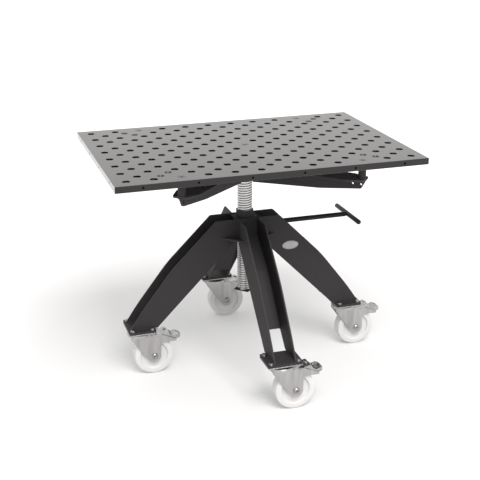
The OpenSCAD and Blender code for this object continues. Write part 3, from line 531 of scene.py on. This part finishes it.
# The working face is burnished nearly black and has a painted sheen: its colour turns pale where it's seen
# edge-on, as a painted reflection. The sides are ground, with the same kind of painted reflection. Inside
# the holes the walls are painted dark near the mouth as shade, a little lighter on the chamfers that face
# up, and bright lower down as painted light; tapped holes and countersunk pairs stay dark.
# Hole walls: painted shade down to about this depth, painted light below it.
hole_wall_shade_depth = 0.0072
burnished = finish_of("burnished_plate", (0.055, 0.053, 0.052), (0.070, 0.067, 0.066), rough=(0.30, 0.40),
                      metal=1.0, fine=900.0, broad=5.0, edge=((0.45, 0.44, 0.43), 0.5, 0.0009), bump=0.00002,
                      painted_sheen=((0.935, 0.915, 0.905), 5.0))
outward_tilt = 0.5
steep_tilt = 0.85
slope_tilt = 0.3
tree = burnished.node_tree
worked = found(tree, "BSDF_PRINCIPLED")
spot = node_of(tree, "ShaderNodeSeparateXYZ", Vector=own_place(tree)).outputs
true_normal = node_of(tree, "ShaderNodeNewGeometry").outputs["True Normal"]
lean = node_of(tree, "ShaderNodeSeparateXYZ", Vector=true_normal).outputs
off_middle = [maths(tree, "ABSOLUTE", spot[i]) for i in range(2)]
tilt = [maths(tree, "ABSOLUTE", lean[i]) for i in range(3)]
in_rim = [maths(tree, "GREATER_THAN", off, reach / 2 - tap_depth - tap_radius)
          for off, reach in zip(off_middle, (plate_length, plate_width))]
faces_out = [maths(tree, "GREATER_THAN", tilt[i], outward_tilt) for i in range(2)]
at_rim = maths(tree, "MAXIMUM", *[product(tree, *pair) for pair in zip(in_rim, faces_out)])
in_tap = maths(tree, "SUBTRACT", maths(tree, "MAXIMUM", *in_rim), at_rim)
steep = maths(tree, "LESS_THAN", tilt[2], steep_tilt)
# Painted reflection: the ground sides turn pale where they're seen edge-on.
ground_side_painted_sheen = mixed(tree, grazing(tree, 2.4), (0.036, 0.034, 0.034, 1), (0.53, 0.522, 0.518, 1))
sloping = maths(tree, "GREATER_THAN", tilt[2], slope_tilt)
# Painted shade inside the holes: dark walls, a little lighter on the chamfers that face up.
hole_wall_shade = mixed(tree, sloping, (0.022, 0.021, 0.021, 1), (0.09, 0.088, 0.086, 1))
beside_pair = [maths(tree, "LESS_THAN", maths(tree, "ABSOLUTE", sum_of(tree, off, middle, -1)), 2 * pair_step)
               for off, middle in zip(off_middle, pair_place)]
dull_hole = maths(tree, "MAXIMUM", in_tap, product(tree, *beside_pair))
# Painted light: the hole walls turn bright below the shaded mouth, except in tapped holes and countersunk
# pairs.
deep_painted_light = node_of(tree, "ShaderNodeMapRange", Value=spot[2], From_Min=plate_top - 0.8 * hole_wall_shade_depth,
               From_Max=plate_top - 1.2 * hole_wall_shade_depth)
painted_light_wall = product(tree, deep_painted_light, sum_of(tree, 1.0, dull_hole, -1.0))
hole_wall_light_and_shade = mixed(tree, painted_light_wall, hole_wall_shade, (0.60, 0.59, 0.58, 1))
drilled = node_of(tree, "ShaderNodeBsdfPrincipled", Base_Color=hole_wall_light_and_shade, Metallic=1.0, Roughness=0.24)
ground = node_of(tree, "ShaderNodeBsdfPrincipled", Base_Color=ground_side_painted_sheen, Metallic=1.0, Roughness=0.26)
cut = ordered(tree, "ShaderNodeMixShader", (at_rim, drilled, ground))[0]
zones = ordered(tree, "ShaderNodeMixShader", (steep, worked, cut))[0]
fill(tree, found(tree, "OUTPUT_MATERIAL").inputs[0], zones)

bore_wall = lathe("bore_wall", [(bore_mouth, 0), (bore_radius, -bore_chamfer),
                                (bore_radius, bore_chamfer - plate_thick), (bore_mouth, -plate_thick)],
                  hole_sides)
bolt_wall = lathe("bolt_wall", [(bore_mouth, 0), (bore_radius, -bore_chamfer),
                                (bore_radius, -bolt_head_depth), (bolt_hole_radius, -bolt_head_depth),
                                (bolt_hole_radius, -plate_thick)], hole_sides)
sink_wall = lathe("sink_wall", [(bore_radius, 0), (sink_hole_radius, sink_hole_radius - bore_radius),
                                (sink_hole_radius, -plate_thick)], hole_sides)
tap_wall = lathe("tap_wall", [(tap_radius, 0), (tap_radius, -tap_depth),
                              (tap_tip_radius, -tap_depth - tap_radius / 2)], hole_sides)
bolt_spots = points_object("bolt_spots", bolt_places)
sink_spots = points_object("sink_spots", pair_places)
plate = grow("bored_plate", slab, burnished, {
    "Length": plate_length, "Width": plate_width, "Thickness": plate_thick, "Pitch": bore_pitch,
    "Columns": columns, "Rows": rows, "Least Land": least_land, "Rim": rim_chamfer, "Sides": hole_sides,
    "Bore Mouth": bore_mouth, "Sink Mouth": bore_radius, "Bolt Hole": bolt_hole_radius,
    "Sink Hole": sink_hole_radius, "Tap Radius": tap_radius, "Tap Pitch": tap_pitch, "Bolts": bolt_spots,
    "Sinks": sink_spots, "Bore Wall": bore_wall, "Bolt Wall": bolt_wall, "Sink Wall": sink_wall,
    "Tap Wall": tap_wall})
plate.data.transform(Matrix.Translation(((plate_low + plate_high) / 2)))
for helper in (bore_wall, bolt_wall, sink_wall, tap_wall, bolt_spots, sink_spots):
    bpy.data.objects.remove(helper)
crisp(plate)
finished(plate, "table", "plate_steel", "table_plate")


# Plate bolts: turned steel heads with a hexagon socket, browned with the plate. They lie flush in
# its counterbores, and their shanks are screwed into the posts.
flat_angle = 0.6
corner_angle = 25
merge_reach = 1e-6


def merged_body(mesh):
    """A mesh opened for work, with its double points merged."""
    body = bmesh.new()
    body.from_mesh(mesh)
    bmesh.ops.remove_doubles(body, verts=body.verts, dist=merge_reach)
    return body


def sharp_in(body):
    """The edges at which two faces meet at more than the corner angle."""
    return [edge for edge in body.edges
            if len(edge.link_faces) == 2 and edge.calc_face_angle() > math.radians(corner_angle)]


def eased(node, width):
    """A CAD node's shape as one merged mesh with its sharp edges bevelled by width."""
    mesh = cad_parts[node].data.copy()
    body = merged_body(mesh)
    bmesh.ops.dissolve_limit(body, angle_limit=math.radians(flat_angle), verts=body.verts, edges=body.edges)
    bmesh.ops.bevel(body, geom=sharp_in(body), offset=width, segments=1, profile=0.5, affect="EDGES",
                    clamp_overlap=True)
    body.to_mesh(mesh)
    body.free()
    mesh.name = node + "_eased"
    return crisp(placed(node + "_eased", mesh))


def dressed(node, body, slot, material, width):
    """A node's bevelled copy in its finish, in the node's place."""
    return finished(painted(eased(node, width), material), body, slot, node)


# Painted sheen: the heads turn lighter where they're seen edge-on.
bolt_black = finish_of("browned_bolt", (0.045, 0.044, 0.043), (0.06, 0.059, 0.058), rough=(0.34, 0.44),
                       metal=1.0, fine=500.0, broad=20.0, edge=((0.35, 0.34, 0.33), 0.6, 0.0006),
                       painted_sheen=((0.30, 0.29, 0.285), 2.0))
dressed("plate_bolts", "table", "bolt_steel", bolt_black, width=0.0005)

# Support frame: posts, middle plate with its sleeve and four tee-shaped arms, cut from steel
# sheet, welded and powder-coated black with a fine satin texture.
arms = ("arm_front_left", "arm_front_right", "arm_rear_left", "arm_rear_right")
powder = finish_of("black_powder_coat", (0.024, 0.0215, 0.022), (0.030, 0.027, 0.0275), rough=(0.58, 0.72),
                   metal=0.0, fine=1400.0, broad=3.0, edge=((0.12, 0.118, 0.118), 0.5, 0.0012), bump=0.00006,
                   Specular_IOR_Level=0.3)
for node in ("corner_posts", "middle_post", "cross_hub") + arms:
    dressed(node, "table", "powder_coat", powder, width=0.0007)

# Seams of the support frame: each bead is a rippled round cord of melted metal that follows the
# line where two plates meet, and is coated with them.
ripple = 0.16
ripple_pitch = 0.0042
bead_step = 0.0014
bead_sides = 7
bead, given, result = tree_with("weld_bead", [
    ("Seams", "NodeSocketGeometry"), ("Radius", "NodeSocketFloat"), ("Ripple", "NodeSocketFloat"),
    ("Ripple Pitch", "NodeSocketFloat"), ("Step", "NodeSocketFloat"), ("Sides", "NodeSocketInt"),
    ("Material", "NodeSocketMaterial")])
merged = node_of(bead, "GeometryNodeMergeByDistance", Geometry=given["Seams"], Distance=weld_reach)
route = node_of(bead, "GeometryNodeMeshToCurve", Mesh=merged)
even = node_of(bead, "GeometryNodeResampleCurve", Curve=route)
even.mode = "LENGTH"
step = next(socket for socket in even.inputs if socket.name == "Length" and socket.enabled)
fill(bead, step, given["Step"])
along = bead.nodes.new("GeometryNodeSplineParameter").outputs["Length"]
phase = maths(bead, "DIVIDE", product(bead, along, 2 * math.pi), given["Ripple Pitch"])
swell = sum_of(bead, 1.0, maths(bead, "SINE", phase), given["Ripple"])
section = node_of(bead, "GeometryNodeCurvePrimitiveCircle", Resolution=given["Sides"], Radius=1.0)
cord = node_of(bead, "GeometryNodeCurveToMesh", Curve=even, Profile_Curve=section,
               Scale=product(bead, swell, given["Radius"]), Fill_Caps=True)
coated = node_of(bead, "GeometryNodeSetMaterial", Geometry=cord, Material=given["Material"])
fill(bead, result[0], coated)


def sharp_edges(node, wanted):
    """Pairs of points: the sharp edges of a CAD node whose middle is where a seam is wanted."""
    body = merged_body(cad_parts[node].data)
    pairs = [[vert.co.copy() for vert in edge.verts] for edge in sharp_in(body)]
    body.free()
    return [pair for pair in pairs if wanted((pair[0] + pair[1]) / 2)]


def welded_seams(name, body, pairs, radius):
    """One bead over all these edges, coated like the plates that it joins."""
    ends = [tuple(point) for pair in pairs for point in pair]
    source = placed(name + "_route", bpy.data.meshes.new(name + "_route"))
    source.data.from_pydata(ends, [(i, i + 1) for i in range(0, len(ends), 2)], [])
    seam = grow(name, bead, powder, {"Radius": radius, "Ripple": ripple, "Ripple Pitch": ripple_pitch,
                                     "Step": bead_step, "Sides": bead_sides}, source)
    seam.data.shade_smooth()
    return finished(seam, body, "powder_coat")


def at(value, place, slack=0.0004):
    """Whether a coordinate is at this place."""
    return abs(value - place) < slack


hub_low, hub_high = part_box("cross_hub")
frame_top = hub_high.z
flange_thick = 0.008
flange_under = frame_top - flange_thick
rib_half = 0.005
sleeve_wall_middle = 0.034


def across(point):
    """Distance of a point from the nearer of the two lines that the arms lie on."""
    return min(abs(point.x - point.y), abs(point.x + point.y)) / math.sqrt(2)


def on_rib_top(point):
    """Whether a point is where a rib meets its flange."""
    return at(point.z, flange_under) and at(across(point), rib_half)


def in_sleeve_mouth(point):
    """Whether a point is on the lower mouth of the sleeve."""
    return at(point.z, hub_low.z) and point.xy.length < sleeve_wall_middle


post_seams = [pair for node in ("corner_posts", "middle_post")
              for pair in sharp_edges(node, lambda p: at(p.z, frame_top))]
welded_seams("post_welds", "table", post_seams, radius=0.0026)
rib_seams = [pair for node in arms for pair in sharp_edges(node, on_rib_top)]
welded_seams("rib_welds", "table", rib_seams, radius=0.0026)
sleeve_seams = (sharp_edges("cross_hub", lambda p: at(p.z, flange_under))
                + sharp_edges("cross_hub", in_sleeve_mouth))
welded_seams("hub_welds", "table", sleeve_seams, radius=0.0022)

# Spindle: a bright round-bar screw with a right-hand trapezoidal thread, ten millimetres a turn,
# held in the sleeve of the support frame. The thread's root is painted darker, as shade in the groove.
spindle_low, spindle_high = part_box("spindle")
spindle_radius = (spindle_high.x - spindle_low.x) / 2
thread_pitch = 0.010
thread_depth = 0.0046
thread_sides = 64
# Share of the pitch at which each part of the thread's profile ends, and its depth there
thread_shape = ((0.0, 1.0), (0.24, 1.0), (0.42, 0.0), (0.82, 0.0))


def threaded_bar(name, radius, low, high, pitch, root_depth, sides):
    """A screw whose rows of points follow the helix; rows past an end are drawn back to it."""
    count = len(thread_shape)
    turns = math.ceil((high - low) / pitch) + 1
    vertices = []
    faces = []
    last = (turns + 1) * count
    for row in range(last + 1):
        for i in range(sides):
            share, depth = thread_shape[row % count]
            z = low + pitch * (row // count - 1 + share + i / sides)
            reach = radius - root_depth * depth
            if not low < z < high:
                reach = radius - root_depth
                z = min(max(z, low), high)
            angle = 2 * math.pi * i / sides
            vertices.append((reach * math.cos(angle), reach * math.sin(angle), z))
    for row in range(last):
        for i in range(sides):
            here, above = row * sides, (row + 1) * sides
            if i + 1 < sides:
                faces.append((here + i, here + i + 1, above + i + 1, above + i))
            elif row + count < last:
                faces.append((here + i, here + count * sides, above + count * sides, above + i))
    bar = mesh_object(name, vertices, faces)
    body = merged_body(bar.data)
    bmesh.ops.dissolve_degenerate(body, edges=body.edges, dist=merge_reach)
    bmesh.ops.holes_fill(body, edges=body.edges, sides=0)
    bmesh.ops.recalc_face_normals(body, faces=body.faces)
    body.to_mesh(bar.data)
    body.free()
    return bar


bright_steel = finish_of("bright_spindle", (0.55, 0.54, 0.536), (0.62, 0.61, 0.606), rough=(0.30, 0.42),
                         metal=1.0, fine=350.0, broad=25.0, edge=((0.76, 0.755, 0.75), 0.6, 0.0005),
                         stretch=(1, 1, 6))
tree = bright_steel.node_tree
worked = found(tree, "BSDF_PRINCIPLED")
spot = node_of(tree, "ShaderNodeSeparateXYZ", Vector=own_place(tree)).outputs
off_axis = maths(tree, "SQRT", sum_of(tree, product(tree, spot[0], spot[0]), spot[1], spot[1]))
# Painted shade: darker towards the root of the thread.
thread_root_shade = node_of(tree, "ShaderNodeMapRange", From_Min=spindle_radius - 0.2 * thread_depth,
               From_Max=spindle_radius - 0.75 * thread_depth, Value=off_axis)
bare = worked.inputs["Base Color"].links[0].from_socket
fill(tree, worked.inputs["Base Color"], mixed(tree, thread_root_shade, bare, (0.36, 0.352, 0.35, 1)))
screw = threaded_bar("spindle_screw", spindle_radius, spindle_low.z, spindle_high.z, thread_pitch,
                     thread_depth, thread_sides)
finished(crisp(painted(screw, bright_steel)), "table", "spindle_steel", "spindle")

# End stop: a square plate cut from steel sheet and powder-coated, under the spindle. A turned
# screw holds it there.
turned_steel = finish_of("turned_steel", (0.50, 0.50, 0.50), (0.58, 0.58, 0.58), rough=(0.28, 0.42),
                         metal=1.0, fine=400.0, broad=30.0, edge=((0.8, 0.8, 0.8), 0.5, 0.0006))
dressed("end_plate", "end_stop", "powder_coat", powder, width=0.0006)
dressed("end_screw", "end_stop", "bolt_steel", turned_steel, width=0.0006)

# Stand: nut, hub plates, arch plates, legs, webs and foot plates, cut from steel sheet, welded
# together and powder-coated as one piece.
legs = ("left", "right", "front", "rear")
arch_plates = ("arch_plate_front", "arch_plate_rear")
leg_plates = ("front_leg_left_plate", "front_leg_right_plate", "rear_leg_left_plate", "rear_leg_right_plate")
webs = tuple(leg + "_web" for leg in legs)
foot_plates = tuple(leg + "_foot_plate" for leg in legs)
hub_pieces = ("spindle_nut", "hub_top_plate", "hub_bottom_plate", "corner_gussets", "clamp_boss")
for node in hub_pieces + arch_plates + leg_plates + webs + foot_plates:
    dressed(node, "base", "powder_coat", powder, width=0.0007)

# Oval plate: thin sheet, painted pale with a raised darker border, glued to the front arch plate.
# It stays bare.
oval_grey = finish_of("pale_plate_paint", (0.33, 0.324, 0.32), (0.38, 0.374, 0.368), rough=(0.34, 0.46),
                      metal=0.35, fine=500.0, broad=40.0, edge=((0.16, 0.158, 0.155), 0.9, 0.0012))
dressed("oval_plate", "base", "oval_plate", oval_grey, width=0.0003)
oval_low, oval_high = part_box("oval_plate")
oval_border = 0.0016
oval_margin = 0.0012
border_rise = 0.0004
border_sink = 0.0001


def recalculated(obj):
    """Merges doubles and turns every face outwards."""
    body = merged_body(obj.data)
    bmesh.ops.recalc_face_normals(body, faces=body.faces)
    body.to_mesh(obj.data)
    body.free()
    return obj


def oval_ring(name, middle, reach, face, sides=72):
    """A flat oval band that stands just proud of the plate and follows its outline."""
    rings = ((0.0, 0.0), (0.3, border_rise), (0.7, border_rise), (1.0, 0.0))
    vertices = []
    faces = []
    for share, rise in rings:
        inset = oval_border * share
        for i in range(sides):
            angle = 2 * math.pi * i / sides
            vertices.append((middle.x + (reach[0] - inset) * math.cos(angle), face - rise,
                             middle.z + (reach[1] - inset) * math.sin(angle)))
    for row in range(len(rings)):
        for i in range(sides):
            j = (i + 1) % sides
            here, there = row * sides, (row + 1) % len(rings) * sides
            faces.append((here + i, here + j, there + j, there + i))
    return mesh_object(name, vertices, faces)


oval_middle = (oval_low + oval_high) / 2
oval_reach = ((oval_high.x - oval_low.x) / 2 - oval_margin, (oval_high.z - oval_low.z) / 2 - oval_margin)
border = oval_ring("oval_border", oval_middle, oval_reach, oval_low.y + border_sink)
border_paint = finish_of("oval_border_paint", (0.10, 0.098, 0.096), (0.13, 0.128, 0.125), rough=(0.40, 0.55),
                         metal=0.2, fine=500.0, broad=40.0)
finished(crisp(painted(recalculated(border), border_paint)), "base", "oval_plate")

# Seams of the stand: a weld bead along each line where two plates meet, outside and inside. The
# ones at the feet end short of the foot plates' edges.
leg_half = 0.045
leg_inner_half = leg_half - 0.006
foot_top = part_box("arch_plate_front")[0].z
stand_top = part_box("arch_plate_front")[1].z
hub_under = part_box("hub_bottom_plate")[0].z
foot_boxes = [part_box(node) for node in foot_plates]
seam_inset = 0.003


def on_foot(pair):
    """Draws a seam back to the foot plate that carries it, and leaves out one past its edge."""
    middle = (pair[0] + pair[1]) / 2
    low, high = min(foot_boxes, key=lambda box: (middle - (box[0] + box[1]) / 2).length)
    if not (low.x < middle.x < high.x and low.y < middle.y < high.y):
        return []
    return [[Vector((min(max(point.x, low.x + seam_inset), high.x - seam_inset),
                     min(max(point.y, low.y + seam_inset), high.y - seam_inset), point.z)) for point in pair]]


foot_seams = [seam for node in arch_plates + leg_plates
              for pair in sharp_edges(node, lambda p: at(p.z, foot_top)) for seam in on_foot(pair)]
welded_seams("foot_welds", "base", foot_seams, radius=0.0023)
web_seams = [pair for node, axis in zip(webs, (1, 1, 0, 0))
             for pair in sharp_edges(node, lambda p, axis=axis: at(abs(p[axis]), leg_inner_half))]
welded_seams("web_welds", "base", web_seams, radius=0.0026)
corner_seams = [pair for node in leg_plates for pair in sharp_edges(
    node, lambda p: at(abs(p.y), leg_half) and at(abs(p.x), leg_half))]
welded_seams("leg_corner_welds", "base", corner_seams, radius=0.0026)
gusset_seams = sharp_edges("corner_gussets", lambda p: at(abs(p.x), leg_half) or at(abs(p.y), leg_half))
welded_seams("gusset_welds", "base", gusset_seams, radius=0.0024)
hub_seams = (sharp_edges("hub_top_plate", lambda p: at(p.z, stand_top))
             + sharp_edges("hub_bottom_plate", lambda p: at(p.z, hub_under)))
welded_seams("nut_welds", "base", hub_seams, radius=0.0026)

# Clamp handle: a turned round rod with a fine thread at its inner end and a cross bar pressed on
# the other, in glossy black enamel. It pushes a bare steel pad towards the spindle.
dressed("pressure_pad", "pad", "spindle_steel", bright_steel, width=0.0004)
gloss_black = finish_of("gloss_black_enamel", (0.010, 0.0096, 0.0096), (0.014, 0.0136, 0.0136),
                        rough=(0.24, 0.32), metal=0.0, fine=900.0, broad=12.0,
                        edge=((0.20, 0.198, 0.195), 0.4, 0.0010), Specular_IOR_Level=0.18)
rod_low, rod_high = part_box("clamp_rod")
rod_radius = (rod_high.z - rod_low.z) / 2
rod_middle = (rod_low.z + rod_high.z) / 2
bar_low, bar_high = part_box("cross_bar")
bar_middle = (bar_low.x + bar_high.x) / 2
tip_radius = 0.003
tip_chamfer = 0.0004
tip_reach = 0.0053
end_radius = 0.005
rod_thread_end = 0.150
rod_thread_pitch = 0.002
rod_thread_depth = 0.0011
rod_chamfer = 0.0008
rod_sides = 48
rod_thread_sides = 32
rod_start = rod_low.x + tip_reach
core_radius = rod_radius - 2 * rod_thread_depth
turned = lathe("turned_rod", [
    (0, rod_low.x), (tip_radius - tip_chamfer, rod_low.x), (tip_radius, rod_low.x + tip_chamfer),
    (tip_radius, rod_start + rod_chamfer), (core_radius, rod_start + rod_chamfer),
    (core_radius, rod_thread_end - rod_thread_pitch), (rod_radius - rod_chamfer, rod_thread_end),
    (rod_radius, rod_thread_end + rod_chamfer), (rod_radius, bar_low.x - rod_chamfer),
    (rod_radius - rod_chamfer, bar_low.x), (end_radius, bar_low.x), (end_radius, bar_middle),
    (0, bar_middle)], rod_sides)
cut_thread = threaded_bar("rod_thread", rod_radius, rod_start, rod_thread_end, rod_thread_pitch,
                          rod_thread_depth, rod_thread_sides)
rod_body = bmesh.new()
for half in (turned, cut_thread):
    rod_body.from_mesh(half.data)
    bpy.data.objects.remove(half)
bmesh.ops.remove_doubles(rod_body, verts=rod_body.verts, dist=merge_reach)
rod_body.transform(Matrix(((0, 0, 1, 0), (1, 0, 0, 0), (0, 1, 0, rod_middle), (0, 0, 0, 1))))
rod_mesh = bpy.data.meshes.new("clamp_rod_turned")
rod_body.to_mesh(rod_mesh)
rod_body.free()
rod = placed("clamp_rod_turned", rod_mesh)
finished(crisp(painted(rod, gloss_black)), "handle", "powder_coat", "clamp_rod")
dressed("cross_bar", "handle", "powder_coat", gloss_black, width=0.0004)

# Casters: plates pressed and stamped from thick sheet, zinc-plated, and held by hexagon bolts.
# Each has a kingpin, riveted over, that carries the swivel head.
zinc = finish_of("zinc_plated_sheet", (0.34, 0.332, 0.328), (0.42, 0.412, 0.41), rough=(0.26, 0.40),
                 metal=1.0, fine=260.0, broad=22.0, edge=((0.85, 0.85, 0.85), 0.7, 0.0010))
dressed("caster_bolts", "base", "zinc", zinc, width=0.0007)
dressed("kingpins", "base", "zinc", zinc, width=0.0004)
swivel_radius = 0.450
swivels = [(-swivel_radius, 0), (swivel_radius, 0), (0, -swivel_radius), (0, swivel_radius)]
bolt_along = 0.040
bolt_across = 0.055
washer_inner = 0.0051
washer_outer = 0.0102
washer_thick = 0.0016
washer_ease = 0.0003
washer_sides = 32
caster_sheet = 0.004
foot_plate_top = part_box("front_foot_plate")[1].z
caster_sheet_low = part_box("front_caster_plate")[1].z - caster_sheet
washer_spots = [(x + (bolt_along if x else bolt_across) * a, y + (bolt_along if y else bolt_across) * b)
                for x, y in swivels for a in (-1, 1) for b in (-1, 1)]
copies, given, result = tree_with("copies_at_places", [
    ("Places", "NodeSocketGeometry"), ("Piece", "NodeSocketObject"), ("Material", "NodeSocketMaterial")])
coated = node_of(copies, "GeometryNodeSetMaterial", Geometry=walls(copies, given["Places"], given["Piece"]),
                 Material=given["Material"])
fill(copies, result[0], coated)
for side, low in (("upper", foot_plate_top), ("lower", caster_sheet_low - washer_thick)):
    high = low + washer_thick
    washer = lathe(side + "_washer", [
        (washer_inner, low), (washer_outer - washer_ease, low), (washer_outer, low + washer_ease),
        (washer_outer, high - washer_ease), (washer_outer - washer_ease, high), (washer_inner, high),
        (washer_inner, low)], washer_sides)
    washers = grow(side + "_bolt_washers", copies, zinc, {"Piece": recalculated(washer)},
                points_object("washer_places", washer_spots))
    bpy.data.objects.remove(washer)
    finished(crisp(washers), "base", "zinc")
for leg in legs:
    dressed(leg + "_caster_plate", "base", "zinc", zinc, width=0.0006)

# Swivel races: hardened balls between each plate and its fork's crown, behind a dark rubber ring
# that fills the gap there, painted nearly black as the shade in that gap.
race_low, race_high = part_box("ball_races")
race_outer = race_high.x - swivel_radius
ball_radius = (race_high.z - race_low.z) / 2
race_radius = race_outer - ball_radius
race_middle = (race_low.z + race_high.z) / 2
race_balls = 40
shade_ring_gap = 0.0004
shade_ring_base = 0.0024
shade_ring_bulge = 0.0032
shade_ring_sides = 72
ball_tree, given, result = tree_with("ball_race", [
    ("Places", "NodeSocketGeometry"), ("Race Radius", "NodeSocketFloat"), ("Balls", "NodeSocketInt"),
    ("Ball Radius", "NodeSocketFloat"), ("Height", "NodeSocketFloat"), ("Material", "NodeSocketMaterial")])
circle = node_of(ball_tree, "GeometryNodeMeshCircle", Radius=given["Race Radius"], Vertices=given["Balls"])
ball = node_of(ball_tree, "GeometryNodeMeshIcoSphere", Radius=given["Ball Radius"], Subdivisions=2)
balls = node_of(ball_tree, "GeometryNodeInstanceOnPoints", Points=circle, Instance=ball)
races = node_of(ball_tree, "GeometryNodeInstanceOnPoints", Points=given["Places"], Instance=balls)
solid = node_of(ball_tree, "GeometryNodeRealizeInstances", Geometry=races)
height = node_of(ball_tree, "ShaderNodeCombineXYZ", Z=given["Height"])
coated = node_of(ball_tree, "GeometryNodeSetMaterial", Geometry=moved(ball_tree, solid, height),
                 Material=given["Material"])
fill(ball_tree, result[0], coated)
balls = grow("swivel_balls", ball_tree, turned_steel, {
    "Race Radius": race_radius, "Balls": race_balls, "Ball Radius": ball_radius, "Height": race_middle},
    points_object("race_places", swivels))
balls.data.shade_smooth()
finished(balls, "base", "bolt_steel", "ball_races")
# Painted shade: a ring, nearly black, that fills the gap between each plate and its fork's crown.
shade_ring_rubber = finish_of("dark_shade_ring_rubber", (0.018, 0.018, 0.018), (0.026, 0.026, 0.026), rough=(0.55, 0.70),
                        metal=0.0, fine=700.0, broad=30.0, bump=0.00003)
for leg, (x, y) in zip(legs, swivels):
    low, high = race_low.z + shade_ring_gap, race_high.z - shade_ring_gap
    shade_ring = lathe(leg + "_swivel_seal", [
        (race_outer, low), (race_outer + shade_ring_base, low), (race_outer + shade_ring_bulge, race_middle),
        (race_outer + shade_ring_base, high), (race_outer, high), (race_outer, low)], shade_ring_sides)
    shade_ring.data.transform(Matrix.Translation((x, y, 0)))
    finished(crisp(painted(recalculated(shade_ring), shade_ring_rubber)), "base", "zinc")

# Forks: one piece of pressed sheet each, with a dished crown and horns at the front that flank the
# pedal; zinc-plated, with light and dark upright streaks painted in as the highlights and shade of the
# curved sheet.
# Painted highlight and shade: light and dark streaks that run upright along the stretched fine grain.
fork_zinc = finish_of("zinc_plated_fork", (0.38, 0.371, 0.368), (0.50, 0.491, 0.488), rough=(0.30, 0.44),
                      metal=1.0, fine=55.0, broad=22.0, edge=((0.85, 0.85, 0.85), 0.7, 0.0010),
                      stretch=(1, 1, 0.12), banded=True)
for leg in legs:
    dressed(leg + "_fork", leg + "_caster", "zinc", fork_zinc, width=0.0006)

# Axles: zinc-plated steel bolts with a round head and a hexagon socket. Each goes through its fork
# and its wheel, and a lock nut at the other end holds it.
axle_zinc = finish_of("zinc_plated_bolt", (0.30, 0.295, 0.29), (0.36, 0.355, 0.35), rough=(0.30, 0.40),
                      metal=1.0, fine=260.0, broad=60.0, edge=((0.85, 0.85, 0.85), 0.8, 0.0009))
for leg in legs:
    dressed(leg + "_axle", leg + "_caster", "zinc", axle_zinc, width=0.0006)

# Wheels: white nylon, moulded in one piece with a raised rim and a hub, and turned true. Each
# runs on its axle between the fork's cheeks.
nylon = finish_of("moulded_nylon", (0.655, 0.645, 0.632), (0.685, 0.675, 0.664), rough=(0.32, 0.42),
                  metal=0.0, fine=500.0, broad=12.0, bump=0.00003, Subsurface_Weight=0.12,
                  Subsurface_Scale=0.004, Subsurface_Radius=(1, 1, 1))
for leg in legs:
    dressed(leg + "_wheel", leg + "_roller", "nylon", nylon, width=0.0004)

# Brake pedals: hoods pressed from sheet with a hollow tread, bright zinc, rubbed along their edges.
# Each turns on a pin through the fork's horns, and its shoe comes down towards the wheel.
pedal_zinc = finish_of("bright_zinc_pedal", (0.36, 0.356, 0.352), (0.48, 0.475, 0.47), rough=(0.12, 0.24),
                       metal=1.0, fine=300.0, broad=45.0, edge=((0.85, 0.85, 0.84), 0.8, 0.0012))
for leg in legs:
    dressed(leg + "_brake_pedal", leg + "_brake", "pedal_steel", pedal_zinc, width=0.0006)
